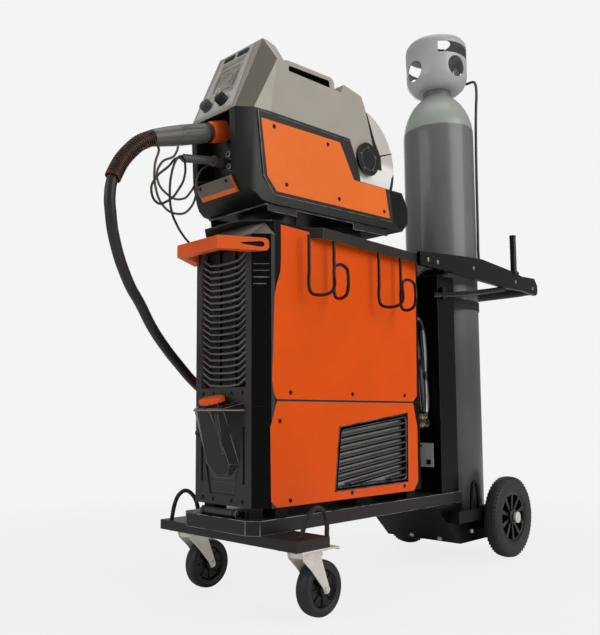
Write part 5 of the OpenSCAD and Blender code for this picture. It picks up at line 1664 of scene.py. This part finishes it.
def make_lid():
    softened("feeder_lid", "lid_plastic", 1.3, 3, crease=12, repaint=lid_parts)
    softened("spool_dome", "dome_plastic", 1.2, 2, repaint=dome_parts)
    h = Shape(FEEDER)
    for side in (-1, 1):
        at = (side * 112.6, HUB[0], HUB[1])
        h.lathe(
            [
                (0, 0), (45.6, 0), (46, 1), (46, 6), (44.8, 7.4), (42.5, 7.8), (40.8, 7.6),
                (40, 6.2), (38.6, 6.2), (37.8, 7.2), (30.6, 7.2), (29.8, 5.2), (22.8, 5.2),
                (22, 6.8), (17.4, 6.8), (16.6, 4.6), (0, 4.6),
            ],
            at, (side, 0, 0), "hub_plastic_and_shadow", steps=96,
        )
        for k in range(5):
            a = math.tau * (k + 0.25) / 5
            spot = Vector((side * 119.4, HUB[0] + 34 * math.cos(a), HUB[1] + 34 * math.sin(a)))
            h.rod(spot, spot + Vector((side * 0.9, 0, 0)), 3.4, "rib_plastic_and_highlight", sides=16)
        for k in range(12):
            a = math.tau * k / 12
            spot = Vector((side * 117.6, HUB[0] + 26.3 * math.cos(a), HUB[1] + 26.3 * math.sin(a)))
            h.ball(spot, 1.5, "hub_plastic_and_shadow")
        for radius, out in ((39.3, 118.9), (30.2, 119.6), (22.4, 119.2)):
            h.ring((side * out, *HUB), (1, 0, 0), radius, 0.8, "rib_plastic_and_highlight", steps=72, sides=8)
        h.rod((side * 117, *HUB), (side * 118.2, *HUB), 15.6, "lip_grey", sides=48)
        before = set(h.bm.verts)
        h.block((-0.6, -3, -12), (0.6, 3, 12), "deep_black")
        h.turned(
            before,
            Matrix.Translation((side * 118.4, *HUB)) @ Matrix.Rotation(math.radians(-12), 4, "X"),
        )
    h.tidy()
    h.piece("hinge_hub_caps", "root", "dome_plastic")
    g = Shape(FEEDER)
    # painted shade: a dark sheet on the floor of the carry handle's slot
    g.across(
        [(186, 1290.1), (338, 1290.1), (338, 1291), (186, 1291)], -109.4, 109.4, "grip_rubber",
    )
    g.tidy()
    g.piece("carry_slot_shade_sheet", "lid", "lid_plastic")
    d = Shape(FEEDER)
    # painted shadow: dark strips on the dome for the shadow gap beside the lid's rear edge and the
    # shadow line behind the hub
    d.across(
        [
            (504, 1266), (536, 1190), (560, 1151), (562, 1112), (528, 1112), (528, 1130),
            (494, 1250),
        ],
        103.4, 106.4, "hub_plastic_and_shadow",
    )
    d.across([(546, 1147), (618, 1171), (620, 1174.5), (546, 1152)], 103.4, 104.9, "hub_plastic_and_shadow")
    d.tidy().soften(0.5)
    d.both()
    d.piece("dome_painted_shadows", "root", "dome_plastic")


def in_feeder(spot):
    """y and z of a place in the feeder's own frame."""
    y, c, s = spot.y + MIDDLE, math.cos(TILT), math.sin(TILT)
    return y * c + spot.z * s, -y * s + spot.z * c


def lid_parts(spot, normal):
    """The slot under the carry handle is black, and the cheeks beside the panel are darker."""
    local_y, local_z = in_feeder(spot)
    if 183.5 < local_y < 340.5 and 1289.5 < local_z < 1310.5 and abs(spot.x) < 109.6:
        return "deep_black"
    if local_y < 142 and abs(spot.x) > 78:
        if normal.y < -0.35:
            return "lid_shade"
        if normal.y < -0.04:
            return "lid_painted_light"
    return None


def dome_parts(spot, normal):
    """Hinge hubs and the parts inside the feeder are black."""
    if abs(spot.x) > 111.5:
        return "hub_plastic_and_shadow"
    local_y, local_z = in_feeder(spot)
    if local_z < 1109 or local_y < 470 or abs(spot.x) < 55 and local_z < 1155 and local_y < 515:
        return "black_plastic"
    return None


def make_control_panel():
    """Leaning panel: silver frame, glass, two knobs and two keys."""
    softened("control_panel", "panel_metal", 0.8)
    s = Shape(PANEL)
    s.along(
        [(-46.6, 64.6), (46.6, 64.6), (42.6, 181.4), (-42.6, 181.4)], -3.6, -2.5, "screen_glass",
    )
    s.along([(-60, 14), (60, 14), (57.6, 56), (-57.6, 56)], -4.5, -3.8, "panel_pale")
    s.tidy().soften(0.3)
    s.piece("display_glass", "lid", "panel_metal")
    m = Shape(PANEL)
    for k, (x0, x1, z0, z1) in enumerate(
        (
            (-38, 38, 168, 170), (-36, -6, 150, 152.5), (6, 34, 150, 152.5), (-37, -33, 84, 140),
            (33, 37, 84, 140), (-26, 26, 78, 80),
        )
    ):
        m.along([(x0, z0), (x1, z0), (x1, z1), (x0, z1)], -3.9, -3.5, "screen_mark")
    for k in range(13):
        a = math.radians(-30 + 20 * k)
        out = Vector((math.cos(a), 0, math.sin(a)))
        at = Vector((0, -3.75, 112))
        m.rod(at + out * 21, at + out * 25, 0.7, "screen_mark", sides=6)
    m.tidy()
    m.piece("display_marks", "lid", "panel_metal")
    for side, name, finish in ((1, "right", "black_plastic"), (-1, "left", "knob_plastic")):
        k = Shape(PANEL)
        at = (side * 28, -4.4, 33)
        k.lathe(
            [
                (0, 0), (15.6, 0), (15.8, 1), (14.4, 3.4), (13.8, 16.4), (12.8, 18.4), (10, 19.4),
                (0, 19.6),
            ],
            at, (0, -1, 0), finish, steps=48,
        )
        for n in range(24):
            a = math.tau * n / 24
            spot = Vector(at) + Vector((math.cos(a), 0, math.sin(a))) * 14.0
            k.rod(
                spot + Vector((0, -4.2, 0)), spot + Vector((0, -16.8, 0)), 1.0, finish,
                end_radius=0.9, sides=8,
            )
        k.block((side * 28 - 1.1, -24.6, 36), (side * 28 + 1.1, -22, 47.5), "panel_metal")
        k.tidy()
        k.piece(
            f"panel_knob_{name}", f"dial_{name}", "knob_plastic" if side < 0 else "black_plastic",
            (f"knob_{name}",),
        )
        softened(f"key_{name}", "black_plastic", 0.6)
    # marks round the knobs and three status lamps above the glass
    d = Shape(PANEL)
    for side in (-1, 1):
        for n in range(11):
            a = math.radians(-60 + 30 * n)
            out = Vector((math.cos(a), 0, math.sin(a)))
            at = Vector((side * 28, -4.62, 33))
            d.rod(at + out * 17.4, at + out * 19.6, 0.45, "knob_plastic", sides=6)
    for x in (-3, 0, 3):
        d.ball((x, -4.2, 197), 1.0, "gauge_face")
    d.tidy()
    d.piece("knob_scales", "lid", "panel_metal")


def make_gun_fittings():
    softened("gun_trigger", "orange_plastic", 0.8)
    c = Shape(PLUG)
    c.lathe(
        [
            (15.5, 0.5), (24, 0.5), (25, 1.6), (25.2, 44), (24.4, 48), (24.0, 51.5), (23.4, 52.9),
            (15.5, 52.9),
        ],
        (0, 0, 0), (0, 0, 1), "orange_plastic", steps=72,
    )
    for k in range(12):
        a = math.tau * k / 12
        out = Vector((math.cos(a), math.sin(a), 0))
        c.rod(
            out * 24.4 + Vector((0, 0, 2)), out * 24.4 + Vector((0, 0, 44)), 2.4, "orange_plastic",
            end_radius=2.0, sides=12,
        )
        c.ball(out * 24.4 + Vector((0, 0, 44)), 2.0, "orange_plastic")
    c.tidy()
    c.piece("gun_collar_finished", "collar", "orange_plastic", ("gun_collar",))


# ---- gas cylinder ----
def make_gas_cylinder():
    s = Shape(GAS)
    shoulder = [
        (117.5, 1390), (116.5, 1408), (113, 1430), (106.5, 1452), (97, 1474), (84.5, 1496),
        (70, 1513), (56, 1527), (47.5, 1534), (45.5, 1536),
    ]
    s.lathe([(0, 62), (100, 62), (110, 64), (115, 68), (117.5, 76), (117.5, 1100)] + shoulder
            + [(45.5, 1536), (0, 1536)], (0, 0, 0), (0, 0, 1), "cylinder_paint", steps=128)
    s.lathe(
        [
            (0, 1534), (46, 1534), (47, 1535), (47, 1546), (45.8, 1547), (45.8, 1549), (47, 1550),
            (47, 1574.4), (46, 1576), (0, 1576),
        ],
        (0, 0, 0), (0, 0, 1), "neck_paint", steps=96,
    )
    s.tidy()
    s.piece("gas_cylinder_finished", "root", "cylinder_paint", ("gas_cylinder",))
    softened("cylinder_strap", "strap_web", 0.6)
    softened("valve_guard", "guard_paint", 2.0, 3, crease=38)


def make_valve():
    softened("cylinder_valve", "brass", 0.6)
    softened("valve_handwheel", "black_plastic", 1.2)
    g = Shape(REGULATOR)
    for side in (-1, 1):
        at = (44, side * 52, 1618)
        g.lathe(
            [(0, 0), (15.4, 0), (15.8, 0.6), (15.8, 2.4), (14.2, 2.8), (13.6, 1.2), (0, 1.2)], at,
            (0, side, 0), "steel", steps=48,
        )
        g.lathe(
            [(0, 1.2), (13.4, 1.2), (13.4, 1.6), (0, 1.6)], at, (0, side, 0), "gauge_face",
            steps=48,
        )
        g.rod((44, side * 54, 1618), (50, side * 54, 1626), 0.6, "deep_black", sides=8)
    g.lathe(
        [(0, 0), (18, 0), (19.5, 2), (19.5, 9), (17, 11), (0, 11)], (62, 0, 1608), (1, 0, 0),
        "black_plastic", steps=12,
    )
    g.tidy()
    g.piece("regulator_gauges", "root", "valve_brass")


# ---- add-on ----
class WeldingLook(bpy.types.PropertyGroup):
    """Colours of the set."""

    orange: FloatVectorProperty(
        name="Orange", description="Colour of the side panels", subtype="COLOR", size=3, min=0,
        max=1, default=tone(243, 88, 6),
    )
    black: FloatVectorProperty(
        name="Case black", description="Colour of the cases", subtype="COLOR", size=3, min=0,
        max=1, default=tone(4, 3, 3),
    )
    frame: FloatVectorProperty(
        name="Cart frame", description="Colour of beam, tray and rails", subtype="COLOR", size=3,
        min=0, max=1, default=tone(38, 34, 31),
    )
    mask: FloatVectorProperty(
        name="Front mask", description="Colour of the front masks", subtype="COLOR", size=3, min=0,
        max=1, default=tone(54, 52, 50),
    )
    lid: FloatVectorProperty(
        name="Feeder lid", description="Colour of the feeder's lid", subtype="COLOR", size=3,
        min=0, max=1, default=tone(172, 165, 155),
    )
    dome: FloatVectorProperty(
        name="Spool dome", description="Colour of the dome over the spool", subtype="COLOR",
        size=3, min=0, max=1, default=tone(206, 203, 197),
    )
    cylinder: FloatVectorProperty(
        name="Cylinder body", description="Colour of the cylinder's body", subtype="COLOR", size=3,
        min=0, max=1, default=tone(112, 113, 114),
    )
    guard: FloatVectorProperty(
        name="Valve guard", description="Colour of the valve guard", subtype="COLOR", size=3,
        min=0, max=1, default=tone(182, 184, 184),
    )


class WeldingSizes(bpy.types.PropertyGroup):
    """Sizes of the finished pieces."""

    edge: FloatProperty(
        name="Edge rounding", description="Rounding of sheet edges, in millimetres", default=0.9,
        min=0.1, max=2.0,
    )
    cable_diameter: FloatProperty(name="Gun cable", description="Diameter of the gun cable",
                                  default=0.025, min=0.015, max=0.03, unit="LENGTH")
    spring_turns: IntProperty(
        name="Spring turns", description="Turns of the bend spring", default=30, min=8, max=40,
    )
    slats: IntProperty(
        name="Grille slats", description="Slats in each side grille", default=12, min=6, max=16,
    )
    tread_blocks: IntProperty(
        name="Tread blocks", description="Blocks round each rear tyre's shoulder", default=56,
        min=20, max=80,
    )


class WeldingStage(bpy.types.PropertyGroup):
    """Lamps of the stage."""

    side_lamp: FloatProperty(
        name="Side lamp", description="Soft lamp on the right, in watts", default=62, min=0,
    )
    front_lamp: FloatProperty(
        name="Front lamp", description="Soft lamp in front, in watts", default=28, min=0,
    )
    top_lamp: FloatProperty(
        name="Top lamp", description="Soft lamp overhead, in watts", default=28, min=0,
    )
    back_lamp: FloatProperty(
        name="Back lamp", description="Soft lamp behind on the left, in watts", default=28, min=0,
    )
    sky: FloatProperty(
        name="Sky", description="Strength of the even light all round", default=0.26, min=0,
    )


def operator(suffix, label, words, build, group=None):
    """One operator class that runs one build function, with its settings if it has any."""

    def execute(self, context):
        build(*([getattr(context.scene, group)] if group else []))
        return {"FINISHED"}

    return type(
        f"WELDSET_OT_{suffix}", (bpy.types.Operator,),
        {
            "bl_idname": f"weldset.{suffix}", "bl_label": label, "__doc__": words,
            "execute": execute,
        },
    )


OPERATORS = [
    operator(*made) for made in (
        ("finishes", "Finishes", "Makes the materials", make_finishes, "weld_look"),
        ("stage", "Stage", "Camera, lamps and floor", make_stage, "weld_stage"),
        ("cords", "Cords", "Gun cable, leads and gas hose", make_cords, "weld_sizes"),
        ("gun_fittings", "Gun fittings", "Collar and trigger of the gun", make_gun_fittings),
        (
            "beam_and_tray", "Beam and tray", "Front beam, tray and loops", make_beam_and_tray,
            "weld_sizes",
        ),
        ("rear", "Platform and column", "Rear platform and column", make_rear, "weld_sizes"),
        (
            "rails", "Rails and handle", "Top rails, hooks and push handle", make_rails,
            "weld_sizes",
        ),
        ("casters", "Casters", "Front casters with brake", make_casters),
        (
            "rear_wheels", "Rear wheels", "Tyres, hubs and axle caps", make_rear_wheels,
            "weld_sizes",
        ),
        ("cooler", "Cooler unit", "Case, mask, panels and grilles", make_cooler, "weld_sizes"),
        ("tank", "Coolant tank", "Tank, sight slot and cap", make_tank),
        (
            "power_source", "Power source", "Case, ribbed mask, panels and bar handle",
            make_power_source, "weld_sizes",
        ),
        ("rear_fittings", "Rear fittings", "Couplings, pipes and sockets", make_rear_fittings),
        (
            "feeder", "Wire feeder", "Cradle, base, panels and wire drive", make_feeder,
            "weld_sizes",
        ),
        ("lid", "Feeder lid", "Hinged lid, dome and hub caps", make_lid),
        (
            "control_panel", "Control panel", "Leaning panel with knobs and keys",
            make_control_panel,
        ),
        ("gas_cylinder", "Gas cylinder", "Cylinder, strap and guard", make_gas_cylinder),
        ("valve", "Valve", "Valve, regulator and handwheel", make_valve),
    )
]


class WELDSET_PT_pieces(bpy.types.Panel):
    """Lists the pieces of the welding set."""

    bl_label = "Welding Set"
    bl_idname = "WELDSET_PT_pieces"
    bl_space_type = "VIEW_3D"
    bl_region_type = "UI"
    bl_category = "Welding Set"

    def draw(self, context):
        for group in (context.scene.weld_look, context.scene.weld_sizes, context.scene.weld_stage):
            for name in group.__annotations__:
                self.layout.prop(group, name)
        for made in OPERATORS:
            self.layout.operator(made.bl_idname)


CLASSES = [WeldingLook, WeldingSizes, WeldingStage, *OPERATORS, WELDSET_PT_pieces]


def register():
    for made in CLASSES:
        bpy.utils.register_class(made)
    bpy.types.Scene.weld_look = PointerProperty(type=WeldingLook)
    bpy.types.Scene.weld_sizes = PointerProperty(type=WeldingSizes)
    bpy.types.Scene.weld_stage = PointerProperty(type=WeldingStage)


def unregister():
    del bpy.types.Scene.weld_look, bpy.types.Scene.weld_sizes, bpy.types.Scene.weld_stage
    for made in reversed(CLASSES):
        bpy.utils.unregister_class(made)


def main():
    register()
    for made in OPERATORS:
        family, name = made.bl_idname.split(".")
        getattr(getattr(bpy.ops, family), name)()


if __name__ == "__main__":
    main()
